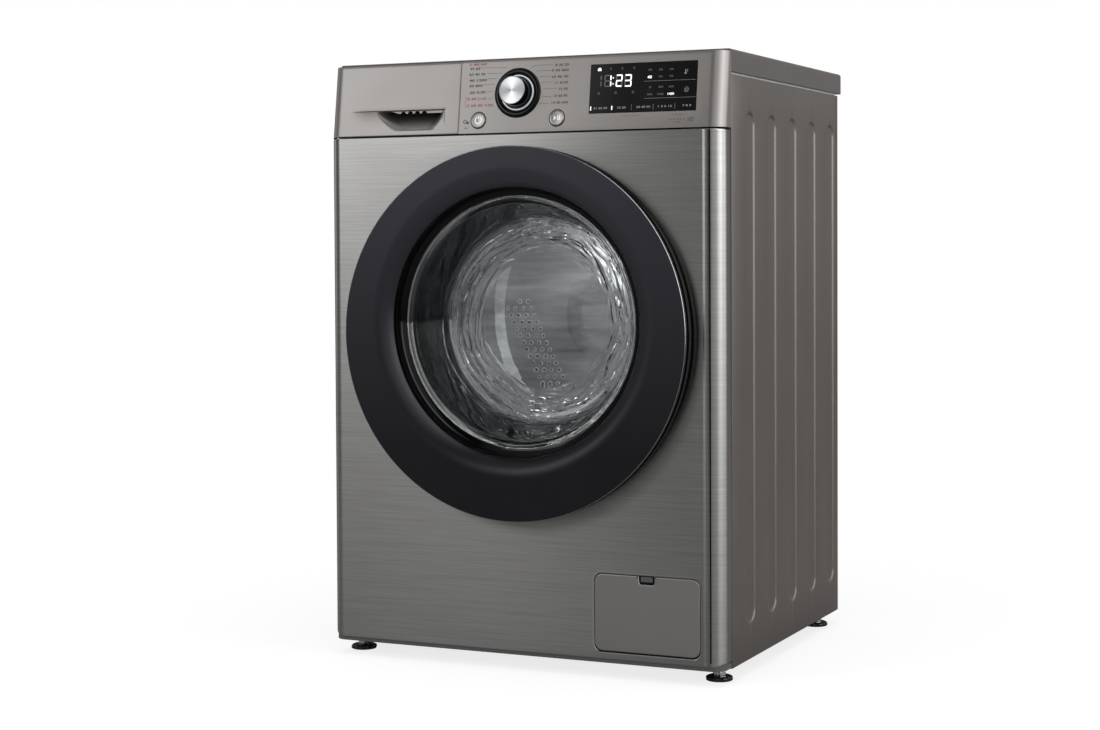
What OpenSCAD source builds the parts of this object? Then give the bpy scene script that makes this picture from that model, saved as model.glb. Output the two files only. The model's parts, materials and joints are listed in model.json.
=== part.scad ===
// Front load washing machine, built piece by piece.
// X runs to the right seen from the front, the door faces -Y, Z is up from the floor.
// The origin is on the floor under the middle of the overall box.

/* [Cabinet] */
// Width across the side panels
body_w = 600; // [596:1:640]
// Height from the floor to the top board
body_h = 850; // [846:1:880]
// Depth from the face of the door ring to the back of the top frame
body_d = 565; // [560:1:640]
// Thickness of the sheet steel panels
sheet = 1.2; // [0.8:0.1:1.6]
// Radius of the front vertical corners
corner_r = 20; // [16:1:24]
// Height of the side panels' lower edge above the floor
side_bottom = 19; // [18:0.5:20]
// Height of the front panel's lower edge above the floor
front_bottom = 24.6; // [22:0.2:27]
// Distance that the front panel wraps back round each side
front_return = 36.5; // [30:0.5:44]
// Distance that the top frame stands out behind the side panels
lid_overhang = 16.5; // [10:0.5:20]
// Height of the top frame's skirt
lid_skirt = 31; // [28:0.5:33]
// Distance from the steel face back to the joint between the two top frames
lid_joint = 293; // [260:1:320]
// Number of pressed ribs on each side panel
rib_count = 5; // [3:1:5]
// Width of a pressed rib
rib_w = 39; // [30:1:50]
// Distance between the ribs
rib_pitch = 92; // [80:1:93]
// Depth of a pressed rib
rib_depth = 1.8; // [1:0.2:2.4]

/* [Door] */
// Distance that the door ring stands out from the steel face
door_proud = 27.6; // [26:0.2:30]
// Outer radius of the door ring
ring_r = 258.2; // [254:0.2:260]
// Distance of the ring's centre below the fascia's seam
ring_drop = 277.1; // [270:0.2:284]
// Distance of the glass, aperture and drum centre below the fascia's seam
port_drop = 262.3; // [258:0.1:266]
// Radius of the ring's inner edge
funnel_r = 184; // [182:0.5:188]
// Radial width of the curve that rolls into the ring's inner edge
funnel_roll = 30; // [24:1:34]
// Radius of the glass at its front rim
glass_r = 175; // [173:0.5:176]
// Depth of the glass bowl
bowl_depth = 90; // [70:1:94]
// Thickness of the glass
glass_t = 6; // [4:0.5:7]

/* [Control head] */
// Height of the control head, from its seam with the steel front to the top board
head_h = 105.7; // [104:0.1:108]
// Height of the fascia's upper edge below the top board
fascia_drop = 3.6; // [2:0.2:5]
// Distance that the fascia leans back from bottom to top
fascia_setback = 14; // [10:0.5:18]
// Wall thickness of the fascia moulding
fascia_t = 2.5; // [2:0.1:3]
// Place of the dial from the middle of the cabinet
dial_x = -1.5; // [-6:0.5:6]
// Height of the dial's centre above the fascia's seam
dial_rise = 54.7; // [51:0.1:57]
// Radius of the gloss bezel round the dial
bezel_r = 35; // [32:0.5:37]
// Radius of the dial's cap
dial_r = 20.5; // [18:0.5:22]
// Height of the dial above the fascia
dial_h = 20; // [16:0.5:24]
// Radius of the two push buttons
button_r = 11; // [9:0.5:12]
// Travel of the push buttons
button_travel = 1; // [0.6:0.1:1.4]
// Distance of each button from the middle of the cabinet
button_x = 60; // [56:1:64]
// Height of the buttons above the fascia's seam
button_rise = 18.1; // [16:0.1:20]
// Distance of the display window from the cabinet's right side
display_side = 37.7; // [33:0.1:44]
// Width of the display window
display_w = 155.3; // [140:1:165]
// Height of the display window
display_h = 68; // [60:1:70]
// Height of the display window's middle above the fascia's seam
display_rise = 55.9; // [54:0.1:58]

/* [Dispenser] */
// Place of the seam between drawer front and fascia
drawer_seam_x = -90; // [-94:1:-86]
// Thickness of the drawer front
drawer_front_t = 20; // [18:0.5:21]
// Length of the drawer's tray
tray_l = 236; // [200:2:250]
// Distance of the drawer's tray from the cabinet's left side
tray_side = 32; // [30:1:40]
// Height of the drawer's tray
tray_h = 50; // [40:1:52]
// Wall thickness of the drawer's tray and its housing
tray_t = 2.2; // [1.8:0.1:3]

/* [Wash group] */
// Radius of the drum
drum_r = 243; // [238:1:245]
// Length of the drum
drum_l = 296; // [270:1:300]
// Thickness of the drum sheet
drum_t = 1; // [0.8:0.1:1.4]
// Number of lifters
lifter_count = 3; // [2:1:4]
// Height of a lifter
lifter_h = 46; // [34:1:52]
// Radius of a drum perforation
hole_r = 3.6; // [2.6:0.2:4.2]
// Gap between drum and tub
drum_gap = 15; // [13:0.5:16]
// Wall thickness of the tub
tub_t = 4; // [3:0.2:5]
// Number of teeth on the stator
stator_teeth = 24; // [18:6:30]
// Wire thickness of a suspension spring
spring_wire = 3; // [2.4:0.2:3.6]
// Radius of a suspension spring's coil
spring_r = 8; // [6:0.5:9]

/* [Service] */
// Distance of the service hatch from the cabinet's right side
hatch_side = 33; // [30:0.5:38]
// Lower edge of the service hatch above the floor
hatch_z = 37; // [36:0.5:40]
// Width of the service hatch
hatch_w = 153; // [140:1:156]
// Height of the service hatch
hatch_h = 105; // [95:1:110]
// Corner radius of the service hatch
hatch_r = 11; // [8:0.5:14]
// Radius of a foot's pad
foot_r = 20.5; // [17:0.5:22]
// Radius of a foot's threaded stud
stud_r = 5; // [4:0.5:6]

/* [Hidden] */
$fn = 96;
cut = 1;               // how far a cutting solid runs past the face that it cuts
seat_gap = 0.3;        // gap between pieces that sit next to each other
run_gap = 0.05;        // radial gap of a running fit
half_w = body_w / 2;
front_y = -body_d / 2 + door_proud;
seam_y = front_y + front_return;
rear_y = body_d / 2 - lid_overhang;
lid_y = body_d / 2;
lid_z = body_h - lid_skirt;
side_top = lid_z - 3;
fascia_z = body_h - head_h;
fascia_top = body_h - fascia_drop;
fascia_tilt = atan(fascia_setback / (fascia_top - fascia_z));
ring_z = fascia_z - ring_drop;
port_z = fascia_z - port_drop;
dial_z = fascia_z + dial_rise;
button_z = fascia_z + button_rise;
display_z = fascia_z + display_rise;
display_x = half_w - display_side - display_w;
hatch_x = half_w - hatch_side - hatch_w;

// Colours
steel = [0.55, 0.55, 0.54];
painted = [0.32, 0.31, 0.29];
silver = [0.68, 0.66, 0.64];
satin_black = [0.14, 0.14, 0.16];
gloss_black = [0.03, 0.03, 0.035];
stainless = [0.72, 0.72, 0.73];
white_plastic = [0.85, 0.86, 0.86];
grey_plastic = [0.45, 0.46, 0.47];
galvanised = [0.62, 0.64, 0.66];
rubber = [0.25, 0.25, 0.26];
concrete = [0.5, 0.5, 0.48];

// ---------- Shared shapes ----------

// A box given by its lowest and highest corners
module block(low, high) {
  translate(low) cube(high - low);
}

// Children drawn about Z are turned to lie about a front to back axis at this X and Z
module about_y(x, z) {
  translate([x, 0, z]) rotate([-90, 0, 0]) children();
}

module mirrored() {
  children();
  mirror([1, 0, 0]) children();
}

module tube(outer, inner, length) {
  difference() {
    cylinder(r = outer, h = length);
    translate([0, 0, -cut]) cylinder(r = inner, h = length + 2 * cut);
  }
}

// A rectangle with round corners, its lower left corner at the origin
module rounded(width, height, r) {
  translate([r, 0]) square([width - 2 * r, height]);
  translate([0, r]) square([width, height - 2 * r]);
  for (x = [r, width - r], y = [r, height - r]) translate([x, y]) circle(r = r);
}

// The cabinet seen from above, pulled in by inset
module cabinet_plan(inset) {
  translate([-half_w + inset, front_y + corner_r])
    square([body_w - 2 * inset, rear_y - inset - front_y - corner_r]);
  translate([-half_w + corner_r, front_y + inset])
    square([body_w - 2 * corner_r, corner_r]);
  for (side = [-1, 1])
    translate([side * (half_w - corner_r), front_y + corner_r]) circle(r = corner_r - inset);
}

// A flat plate standing upright across the cabinet: its outline is drawn in X and Z
module upright(y, thickness) {
  translate([0, y + thickness, 0]) rotate([90, 0, 0]) linear_extrude(thickness) children();
}

// A ridged hose on a vertical axis
module bellows(inner, wall, ridge, length, count) {
  pitch = length / count;
  difference() {
    union() {
      cylinder(r = inner + wall, h = length);
      for (i = [0.5 : count - 0.5])
        translate([0, 0, i * pitch - pitch / 4]) cylinder(r = inner + wall + ridge, h = pitch / 2);
    }
    translate([0, 0, -cut]) cylinder(r = inner, h = length + 2 * cut);
  }
}

// ---------- Cabinet ----------

tray_bottom = side_bottom + sheet + 0.1;
tray_rim = 32;
tray_floor = 2.4;
tray_wall = 3;
stiffener_t = 3;
foot_x = half_w - 24;
foot_front_y = front_y + 50;
foot_rear_y = rear_y - 41;
boss_r = 14;
damper_r = 14;
damper_pin_r = 6;
damper_y = front_y + 264.9;
damper_low = [195, damper_y, tray_rim + 26];
damper_high = [148, damper_y, port_z - 236];
damper_lug_t = 5;
damper_eye_w = 18;

// The two ears and the pin that carry one end of a damper; the ears reach to the height root_z
module damper_clevis(at, root_z) {
  ear_r = damper_pin_r + 6;
  for (side = [-1, 1]) {
    ear_y = at[1] + side * (damper_eye_w / 2 + seat_gap + damper_lug_t / 2);
    translate([at[0], ear_y + damper_lug_t / 2, at[2]]) rotate([90, 0, 0])
      cylinder(r = ear_r, h = damper_lug_t);
    block([at[0] - ear_r, ear_y - damper_lug_t / 2, min(at[2], root_z)],
      [at[0] + ear_r, ear_y + damper_lug_t / 2, max(at[2], root_z)]);
  }
  pin_l = damper_eye_w + 2 * damper_lug_t + 2 * seat_gap;
  translate([at[0], at[1] + pin_l / 2, at[2]]) rotate([90, 0, 0])
    cylinder(r = damper_pin_r, h = pin_l);
}

module at_feet() {
  for (x = [-foot_x, foot_x], y = [foot_front_y, foot_rear_y]) translate([x, y, 0]) children();
}

module base_tray() {
  inset = sheet + seat_gap;
  color(grey_plastic) difference() {
    union() {
      difference() {
        translate([0, 0, tray_bottom]) linear_extrude(tray_rim - tray_bottom) cabinet_plan(inset);
        translate([0, 0, tray_bottom + tray_floor]) linear_extrude(tray_rim)
          cabinet_plan(inset + tray_wall);
      }
      for (share = [-0.6, -0.2, 0.2, 0.6])
        block([share * half_w - stiffener_t / 2, front_y + inset + 1, tray_bottom + 1],
          [share * half_w + stiffener_t / 2, rear_y - inset - 1, tray_rim - 2]);
      for (y = [damper_y - 130, damper_y, damper_y + 120])
        block([-half_w + inset + 1, y - stiffener_t / 2, tray_bottom + 1],
          [half_w - inset - 1, y + stiffener_t / 2, tray_rim - 2]);
      at_feet() translate([0, 0, tray_bottom]) cylinder(r = boss_r, h = tray_rim - tray_bottom);
      mirrored() damper_clevis(damper_low, tray_bottom + 1);
    }
    at_feet() translate([0, 0, tray_bottom - cut])
      cylinder(r = stud_r + run_gap, h = tray_rim - tray_bottom + 2 * cut);
  }
}

side_front_y = seam_y + 0.8;
side_flange = 15;
rear_flange = 28;
foot_flange = 10;
rib_first_y = front_y + 111.5;
rib_z = side_bottom + 49;
rib_h = side_top - 46 - rib_z;
rib_bevel = 1.6;

// Long pressing with round ends and sloping edges: wide at its outer depth, narrower at its inner
module rib_form(outer_x, inner_x, grow) {
  r0 = rib_w / 2 + grow;
  r1 = r0 - rib_bevel;
  depth = outer_x - inner_x;
  for (z = [rib_w / 2, rib_h - rib_w / 2]) translate([inner_x, 0, z]) rotate([0, 90, 0])
    cylinder(r1 = r1, r2 = r0, h = depth);
  translate([0, 0, rib_w / 2]) linear_extrude(rib_h - rib_w)
    polygon([[inner_x, -r1], [outer_x, -r0], [outer_x, r0], [inner_x, r1]]);
}

// The right panel, with its flanges turned in at front, rear, top and bottom
module side_panel() {
  difference() {
    union() {
      block([half_w - sheet, side_front_y, side_bottom], [half_w, rear_y, side_top]);
      block([half_w - side_flange, side_front_y, tray_rim + seat_gap],
        [half_w, side_front_y + sheet, side_top]);
      block([half_w - rear_flange, rear_y - sheet, side_bottom], [half_w, rear_y, side_top]);
      block([half_w - side_flange, side_front_y, side_top - sheet], [half_w, rear_y, side_top]);
      block([half_w - foot_flange, side_front_y, side_bottom],
        [half_w, rear_y, side_bottom + sheet]);
      for (i = [0 : rib_count - 1]) translate([half_w, rib_first_y + i * rib_pitch, rib_z])
        rib_form(-sheet / 2, -rib_depth - sheet, 0.6);
    }
    for (i = [0 : rib_count - 1]) translate([half_w, rib_first_y + i * rib_pitch, rib_z])
      rib_form(0.2, -rib_depth, 0);
  }
}

module side_panel_right() {
  color(painted) side_panel();
}

module side_panel_left() {
  color(painted) mirror([1, 0, 0]) side_panel();
}

front_top = fascia_z - 1.8;
aperture_r = 197;
aperture_lip = 12;
front_flange = 14;
hatch_gap = 0.6;
hatch_foot_gap = 1.8;
hook_x = 222;
hook_slot_w = 18;
hook_slot_h = 30;

module front_panel() {
  color(steel) difference() {
    union() {
      difference() {
        translate([0, 0, front_bottom]) linear_extrude(front_top - front_bottom) cabinet_plan(0);
        translate([0, 0, front_bottom - cut]) linear_extrude(front_top) cabinet_plan(sheet);
        block([-half_w - cut, seam_y, 0], [half_w + cut, rear_y + cut, body_h]);
      }
      mirrored() block([half_w - side_flange, seam_y - sheet, tray_rim + seat_gap],
        [half_w - sheet / 2, seam_y, front_top]);
      block([-half_w + corner_r, front_y + sheet / 2, front_top - sheet],
        [half_w - corner_r, front_y + front_flange, front_top]);
      about_y(0, port_z) translate([0, 0, front_y])
        tube(aperture_r, aperture_r - sheet, aperture_lip);
    }
    about_y(0, port_z) translate([0, 0, front_y - cut])
      cylinder(r = aperture_r - sheet, h = aperture_lip + 3);
    upright(front_y - cut, 5) translate([hatch_x - hatch_gap, hatch_z - hatch_foot_gap])
      rounded(hatch_w + 2 * hatch_gap, hatch_h + hatch_gap + hatch_foot_gap, hatch_r - 1);
    block([hook_x - hook_slot_w / 2, front_y - cut, port_z - hook_slot_h / 2],
      [hook_x + hook_slot_w / 2, front_y + 5, port_z + hook_slot_h / 2]);
  }
}

rear_sheet_y = rear_y - 2 * sheet;
rear_panel_w = body_w - 2 * sheet - 4;
access_w = 300;
access_h = 340;
access_z = port_z - access_h / 2;
access_r = 30;
bead_x = half_w - 70;
bead_w = 22;
bead_h = access_h - 20;
valve_x = -half_w + 100;
valve_z = side_top - 28;
inlet_thread_r = 13.2;
inlet_collar_r = 16;
drain_x = half_w - 65;
drain_z = 160;
drain_r = 11;
drain_collar_r = 14;
gland_x = half_w - 100;
gland_z = 90;
gland_r = 9;
cord_r = 4;
outlet_y = rear_sheet_y + 2 * sheet;   // where the collars of the rear connections end
outlet_l = 14;
transit_x = 165;
transit_z = [port_z - 232, port_z + 158];
transit_r = 14;

module rear_panel() {
  color(painted) difference() {
    union() {
      upright(rear_sheet_y, sheet) translate([-rear_panel_w / 2, tray_bottom + tray_floor + 12])
        square([rear_panel_w, side_top - tray_bottom - tray_floor - 14]);
      for (x = [-bead_x, bead_x]) upright(rear_sheet_y - 2, 2.5)
        translate([x - bead_w / 2, port_z - bead_h / 2 - 22]) rounded(bead_w, bead_h, bead_w / 2 - 1);
    }
    upright(rear_sheet_y - cut, 5) translate([-access_w / 2, access_z])
      rounded(access_w, access_h, access_r);
    about_y(valve_x, valve_z) translate([0, 0, rear_sheet_y - cut])
      cylinder(r = inlet_collar_r + seat_gap, h = 5);
    about_y(drain_x, drain_z) translate([0, 0, rear_sheet_y - cut])
      cylinder(r = drain_collar_r + seat_gap, h = 5);
    about_y(gland_x, gland_z) translate([0, 0, rear_sheet_y - cut])
      cylinder(r = gland_r + 0.1, h = 5);
    for (x = [-transit_x, transit_x], z = transit_z) about_y(x, z)
      translate([0, 0, rear_sheet_y - cut]) cylinder(r = transit_r, h = 5);
  }
}

module rear_access_cover() {
  lap = 12;
  boss_out_r = 120;
  color(painted) difference() {
    union() {
      upright(rear_sheet_y + sheet, sheet) translate([-access_w / 2 - lap, access_z - lap])
        rounded(access_w + 2 * lap, access_h + 2 * lap, access_r + lap);
      about_y(0, port_z) translate([0, 0, rear_sheet_y + sheet]) cylinder(r = boss_out_r, h = sheet + 4);
      for (x = [-1, 1], z = [-1, 1])
        about_y(x * (access_w / 2 + lap / 2), port_z + z * (access_h / 2 - 30))
          translate([0, 0, rear_sheet_y + sheet]) cylinder(r = 4, h = sheet + 2);
    }
    about_y(0, port_z) translate([0, 0, rear_sheet_y]) cylinder(r = boss_out_r - 2, h = sheet + 4);
  }
}

brace_t = 2;
brace_z = side_top;
brace_top = lid_z + 17;
brace_x = half_w - 3;
rail_w = 26;
beam_front_y = seam_y + 6;
beam_rear_y = rear_y - 6;
beam_w = 24;

// A beam folded like an upturned channel
module channel(low, high, along_x) {
  difference() {
    block(low, high);
    if (along_x)
      block([low[0] - cut, low[1] + brace_t, low[2] - cut],
        [high[0] + cut, high[1] - brace_t, high[2] - brace_t]);
    else
      block([low[0] + brace_t, low[1] - cut, low[2] + brace_t],
        [high[0] - brace_t, high[1] + cut, high[2] + cut]);
  }
}

module top_brace() {
  color(galvanised) {
    channel([-brace_x + rail_w, beam_front_y, brace_z], [brace_x - rail_w, beam_front_y + beam_w,
      brace_top], true);
    channel([-brace_x + rail_w, beam_rear_y - beam_w, brace_z], [brace_x - rail_w, beam_rear_y,
      brace_top], true);
    mirrored() channel([brace_x - rail_w, beam_front_y, brace_z], [brace_x, beam_rear_y,
      brace_top], false);
  }
}

frame_t = 2.5;
frame_edge_r = 4;
frame_ledge = 20;
board_t = 12;
joint_y = front_y + lid_joint;
frame_gap = 0.4;

// Round-edged top frame between two depths, closed at the back when back is true
module top_frame(y0, y1, back) {
  difference() {
    intersection() {
      upright(y0, y1 - y0) translate([-half_w, lid_z]) {
        square([body_w, lid_skirt - frame_edge_r]);
        translate([frame_edge_r, 0]) square([body_w - 2 * frame_edge_r, lid_skirt]);
        for (x = [frame_edge_r, body_w - frame_edge_r])
          translate([x, lid_skirt - frame_edge_r]) circle(r = frame_edge_r);
      }
      if (back)
        translate([-half_w, 0, 0]) rotate([90, 0, 90]) linear_extrude(body_w) {
          translate([y0, lid_z]) square([y1 - y0, lid_skirt - frame_edge_r]);
          translate([y0, lid_z]) square([y1 - y0 - frame_edge_r, lid_skirt]);
          translate([y1 - frame_edge_r, lid_z + lid_skirt - frame_edge_r]) circle(r = frame_edge_r);
        }
    }
    block([-half_w + frame_t, y0 - cut, lid_z - cut],
      [half_w - frame_t, y1 - (back ? frame_t : -cut), body_h - board_t]);
    block([-half_w + frame_ledge, y0 - cut, lid_z],
      [half_w - frame_ledge, y1 - (back ? frame_ledge : -cut), body_h + cut]);
  }
}

module top_frame_front() {
  color(painted) {
    top_frame(seam_y + frame_gap, joint_y - frame_gap / 2, false);
    block([-half_w + frame_ledge, seam_y + frame_gap, body_h - board_t],
      [half_w - frame_ledge, seam_y + frame_ledge, body_h]);
  }
}

module top_frame_rear() {
  color(painted) top_frame(joint_y + frame_gap / 2, lid_y, true);
}

module top_board() {
  color(painted) block([-half_w + frame_ledge + seat_gap, seam_y + frame_ledge + seat_gap,
    body_h - board_t], [half_w - frame_ledge - seat_gap, lid_y - frame_ledge - seat_gap,
    body_h - 0.4]);
}

// ---------- Control head ----------

fascia_edge_r = 4;
fascia_gap = 0.4;
drawer_gap = 0.8;

// How far back the fascia's face lies at a height
function face_y(z) = front_y + (z - fascia_z) * tan(fascia_tilt);

// Children drawn on the fascia: X across, Y up the face, Z straight out of it
module on_fascia(x, z) {
  translate([x, face_y(z), z]) rotate([90 - fascia_tilt, 0, 0]) children();
}

// Outer form of the leaning control head as far back as back_y, pulled in by inset
module head_form(inset, back_y) {
  lean = 60;
  edge_z = fascia_top - fascia_edge_r;
  edge_y = face_y(edge_z) + fascia_edge_r / cos(fascia_tilt);
  difference() {
    intersection() {
      translate([0, front_y, fascia_z]) rotate([-fascia_tilt, 0, 0]) translate([0, -front_y, -lean])
        linear_extrude(body_h) cabinet_plan(inset);
      block([-half_w, front_y - cut, fascia_z + inset], [half_w, back_y, fascia_top - inset]);
    }
    if (inset == 0)
      translate([-half_w - cut, 0, 0]) rotate([90, 0, 90]) linear_extrude(body_w + 2 * cut)
        difference() {
          polygon([[front_y - cut, edge_z], [edge_y, edge_z], [edge_y, fascia_top + cut],
            [front_y - cut, fascia_top + cut]]);
          translate([edge_y, edge_z]) circle(r = fascia_edge_r);
        }
  }
}

// The space behind the fascia's face from depth d0 to d1, between two X positions
module head_slab(x0, x1, d0, d1) {
  translate([0, front_y, fascia_z]) rotate([-fascia_tilt, 0, 0])
    block([x0, d0, -lid_skirt], [x1, d1, body_h - fascia_z + lid_skirt]);
}

head_back_y = seam_y - fascia_gap;
display_mid_x = display_x + display_w / 2;
fascia_hole = 10;      // length of the tools that cut through the fascia's wall

module control_fascia() {
  color(silver) difference() {
    head_form(0, head_back_y);
    intersection() {
      head_form(fascia_t, head_back_y + cut);
      union() {
        block([drawer_seam_x + fascia_t, front_y - cut, fascia_z], [half_w, seam_y, body_h]);
        block([-half_w, front_y - cut, fascia_z], [drawer_seam_x, seam_y, body_h]);
      }
    }
    head_slab(-half_w - cut, drawer_seam_x, -cut, drawer_front_t + seat_gap);
    on_fascia(display_mid_x, display_z) translate([-display_w / 2, -display_h / 2, -fascia_hole / 2])
      cube([display_w, display_h, fascia_hole]);
    on_fascia(dial_x, dial_z) translate([0, 0, -fascia_hole / 2])
      cylinder(r = bezel_r - 6, h = fascia_hole);
    for (side = [-1, 1]) on_fascia(side * button_x, button_z) translate([0, 0, -fascia_hole / 2])
      cylinder(r = button_r + seat_gap, h = fascia_hole);
  }
}

window_t = 3;
window_gap = 0.25;

module display_window() {
  color(gloss_black) on_fascia(display_mid_x, display_z)
    translate([-display_w / 2 + window_gap, -display_h / 2 + window_gap, -window_t])
      cube([display_w - 2 * window_gap, display_h - 2 * window_gap, window_t]);
}

board_front = 8;
board_depth = 9;
knob_stem_r = 4;

module control_board() {
  dial_up = (dial_z - display_z) / cos(fascia_tilt);
  color(white_plastic) difference() {
    on_fascia(display_mid_x, display_z) {
      difference() {
        translate([-display_mid_x + drawer_seam_x + 8, -display_h / 2 - 8, -board_front - board_depth])
          cube([display_mid_x - drawer_seam_x + display_w / 2 + 8, display_h + 16, board_depth]);
        translate([-display_mid_x + drawer_seam_x + 10, -display_h / 2 - 6,
          -board_front - board_depth - cut])
          cube([display_mid_x - drawer_seam_x + display_w / 2 + 4, display_h + 12,
            board_depth - 2 + cut]);
      }
      for (x = [-1, 1], y = [-1, 1])
        translate([x * (display_w / 2 - 8) - 5, y * (display_h / 2 - 8) - 5, -board_front - 6])
          cube([10, 10, board_front + 6 - window_t]);
      translate([dial_x - display_mid_x, dial_up, -board_front - board_depth])
        cylinder(r = 12, h = board_depth);
      translate([-display_w / 2, -display_h / 2 + 4, -board_front - 6])
        cube([display_w, display_h - 8, 2]);
    }
    on_fascia(dial_x, dial_z) translate([0, 0, -board_front - board_depth - cut])
      cylinder(r = knob_stem_r + run_gap, h = board_depth + 2 * cut);
  }
}

module dial_bezel() {
  bezel_h = 2.4;
  collar_r = bezel_r - 6 - 0.2;
  color(gloss_black) on_fascia(dial_x, dial_z) difference() {
    rotate_extrude() polygon([[dial_r + 1.8, -fascia_t], [collar_r, -fascia_t], [collar_r, 0],
      [bezel_r, 0], [bezel_r, bezel_h - 1], [bezel_r - 1.4, bezel_h], [dial_r + 4, bezel_h],
      [dial_r + 1.8, bezel_h - 1.2]]);
  }
}

module dial_knob() {
  grip_h = dial_h - 3;
  color(stainless) on_fascia(dial_x, dial_z) difference() {
    union() {
      rotate_extrude() polygon([[0, -1], [dial_r + 1, -1], [dial_r + 1, 1.5], [dial_r + 0.2, 3],
        [dial_r - 0.6, grip_h], [dial_r - 0.6, dial_h - 1.2], [dial_r - 1.8, dial_h],
        [dial_r - 3.4, dial_h], [dial_r - 4, dial_h - 0.8], [0, dial_h - 1.4]]);
      translate([0, 0, -board_front - board_depth]) cylinder(r = knob_stem_r,
        h = board_front + board_depth);
    }
    translate([0, dial_r - 6, dial_h - 1.2]) cylinder(r = 1.4, h = 3);
  }
}

// A push button: face, skirt and the flange that stops it behind the fascia
module push_button(x) {
  proud = 1.4;
  flange_t = 1.2;
  on_fascia(x, button_z) {
    rotate_extrude() polygon([[0, -board_front + 2 + button_travel], [button_r - 3, -board_front + 2
      + button_travel], [button_r - 3, -fascia_t - flange_t - seat_gap], [button_r + 1.6, -fascia_t
      - flange_t - seat_gap], [button_r + 1.6, -fascia_t - seat_gap], [button_r, -fascia_t - seat_gap],
      [button_r, proud - 1], [button_r - 1, proud], [0, proud - 0.5]]);
    translate([0, 0, -board_front + seat_gap + button_travel]) cylinder(r = 3, h = 3);
  }
}

module power_button() {
  color(silver) push_button(-button_x);
}

module start_button() {
  color(silver) push_button(button_x);
}

// ---------- Dispenser ----------

tray_x = -half_w + tray_side;
tray_w = drawer_seam_x - 20 - tray_x;
tray_z = fascia_z + 9;
tray_front_y = front_y + drawer_front_t + 2.5;
tray_rear_y = tray_front_y + tray_l;
housing_y = seam_y + 1;
scoop_top_z = fascia_z + 35.7;
scoop_bottom_z = fascia_z + 6.7;
scoop_left_x = -half_w + 34;
scoop_floor_x = scoop_left_x + 39;
scoop_right_x = drawer_seam_x - 23;
scoop_depth = 15;
tooth_w = 5;
tooth_pitch = 11;
tooth_x = scoop_right_x - 75;

// Finger scoop: deep under its upper lip and running out to the face below and to the left
module scoop(grow) {
  up = (scoop_top_z - scoop_bottom_z) / cos(fascia_tilt) + grow;
  left = scoop_left_x - scoop_right_x - grow;
  floor_left = scoop_floor_x - scoop_right_x - grow;
  depth = -scoop_depth - grow;
  points = [[left, up, 2], [grow, up, 2], [grow, -grow, 2], [left + 14, -grow, 2],
    [left, up, -0.1 - grow], [floor_left, up, depth], [grow - 1.5, up, depth],
    [grow - 1, up * 0.5, depth * 0.8], [grow, -grow, -0.1 - grow], [left + 14, -grow, -0.1 - grow],
    [floor_left + 4, up * 0.5, depth * 0.8]];
  on_fascia(scoop_right_x, scoop_bottom_z) hull() polyhedron(points, [[0, 1, 2, 3], [4, 5, 6, 7, 8, 9, 10]]);
}

module drawer_front() {
  edge_x = drawer_seam_x - drawer_gap;
  post_z = [scoop_top_z + 8, scoop_top_z + 20];
  post_y = face_y(post_z[1]) + fascia_t / 4;
  color(silver) difference() {
    union() {
      difference() {
        intersection() {
          head_form(0, head_back_y);
          head_slab(-half_w - cut, edge_x, -cut, drawer_front_t);
        }
        intersection() {
          head_form(fascia_t, head_back_y + cut);
          head_slab(-half_w, edge_x - fascia_t, 0, drawer_front_t + cut);
        }
      }
      intersection() {
        scoop(2);
        head_form(0, head_back_y);
        head_slab(-half_w, edge_x, 0.5, drawer_front_t);
      }
      for (x = [tray_x, tray_x + tray_w - 10])
        block([x, post_y, post_z[0]], [x + 10, tray_front_y, post_z[1]]);
    }
    scoop(0);
  }
  color(silver) for (i = [0 : 3]) on_fascia(tooth_x + i * tooth_pitch, scoop_top_z)
    translate([0, -3, -10]) cube([tooth_w, 3.5, 8]);
}

module drawer_tray() {
  wall_x = [tray_x + tray_w * 0.36, tray_x + tray_w * 0.68];
  color(white_plastic) difference() {
    union() {
      block([tray_x, tray_front_y, tray_z], [tray_x + tray_w, tray_rear_y, tray_z + tray_h]);
    }
    for (span = [[tray_x, wall_x[0]], [wall_x[0], wall_x[1]], [wall_x[1], tray_x + tray_w]])
      block([span[0] + tray_t, tray_front_y + tray_t, tray_z + tray_t],
        [span[1] - tray_t, tray_rear_y - tray_t, tray_z + tray_h + cut]);
    for (span = [[tray_x, wall_x[0]], [wall_x[0], wall_x[1]]])
      block([span[0] + 12, tray_rear_y - 10, tray_z + 14],
        [span[1] - 12, tray_rear_y + cut, tray_z + tray_h - 12]);
  }
}

housing_out = tray_t + 0.5;
housing_top = tray_z + tray_h + housing_out + 1;
dispenser_hose_x = tray_x + tray_w - 40;
dispenser_hose_y = front_y + 178.9;
dispenser_hose_r = 15;

module dispenser_housing() {
  low = [tray_x - housing_out, housing_y, tray_z - seat_gap - tray_t];
  high = [tray_x + tray_w + housing_out, tray_rear_y + 16, housing_top];
  color(grey_plastic) difference() {
    union() {
      block(low, high);
      translate([dispenser_hose_x, dispenser_hose_y, low[2] - 15])
        cylinder(r = dispenser_hose_r, h = 16);
      about_y(valve_x, valve_z) translate([0, 0, high[1] - cut]) cylinder(r = 7, h = 14);
    }
    block([low[0] + tray_t, low[1] - cut, low[2] + tray_t],
      [high[0] - tray_t, high[1] - tray_t, high[2] - tray_t]);
    translate([dispenser_hose_x, dispenser_hose_y, low[2] - 16])
      cylinder(r = dispenser_hose_r - 2, h = 20);
    about_y(valve_x, valve_z) translate([0, 0, high[1] - 4]) cylinder(r = 5, h = 24);
  }
}

// ---------- Door ----------

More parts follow.
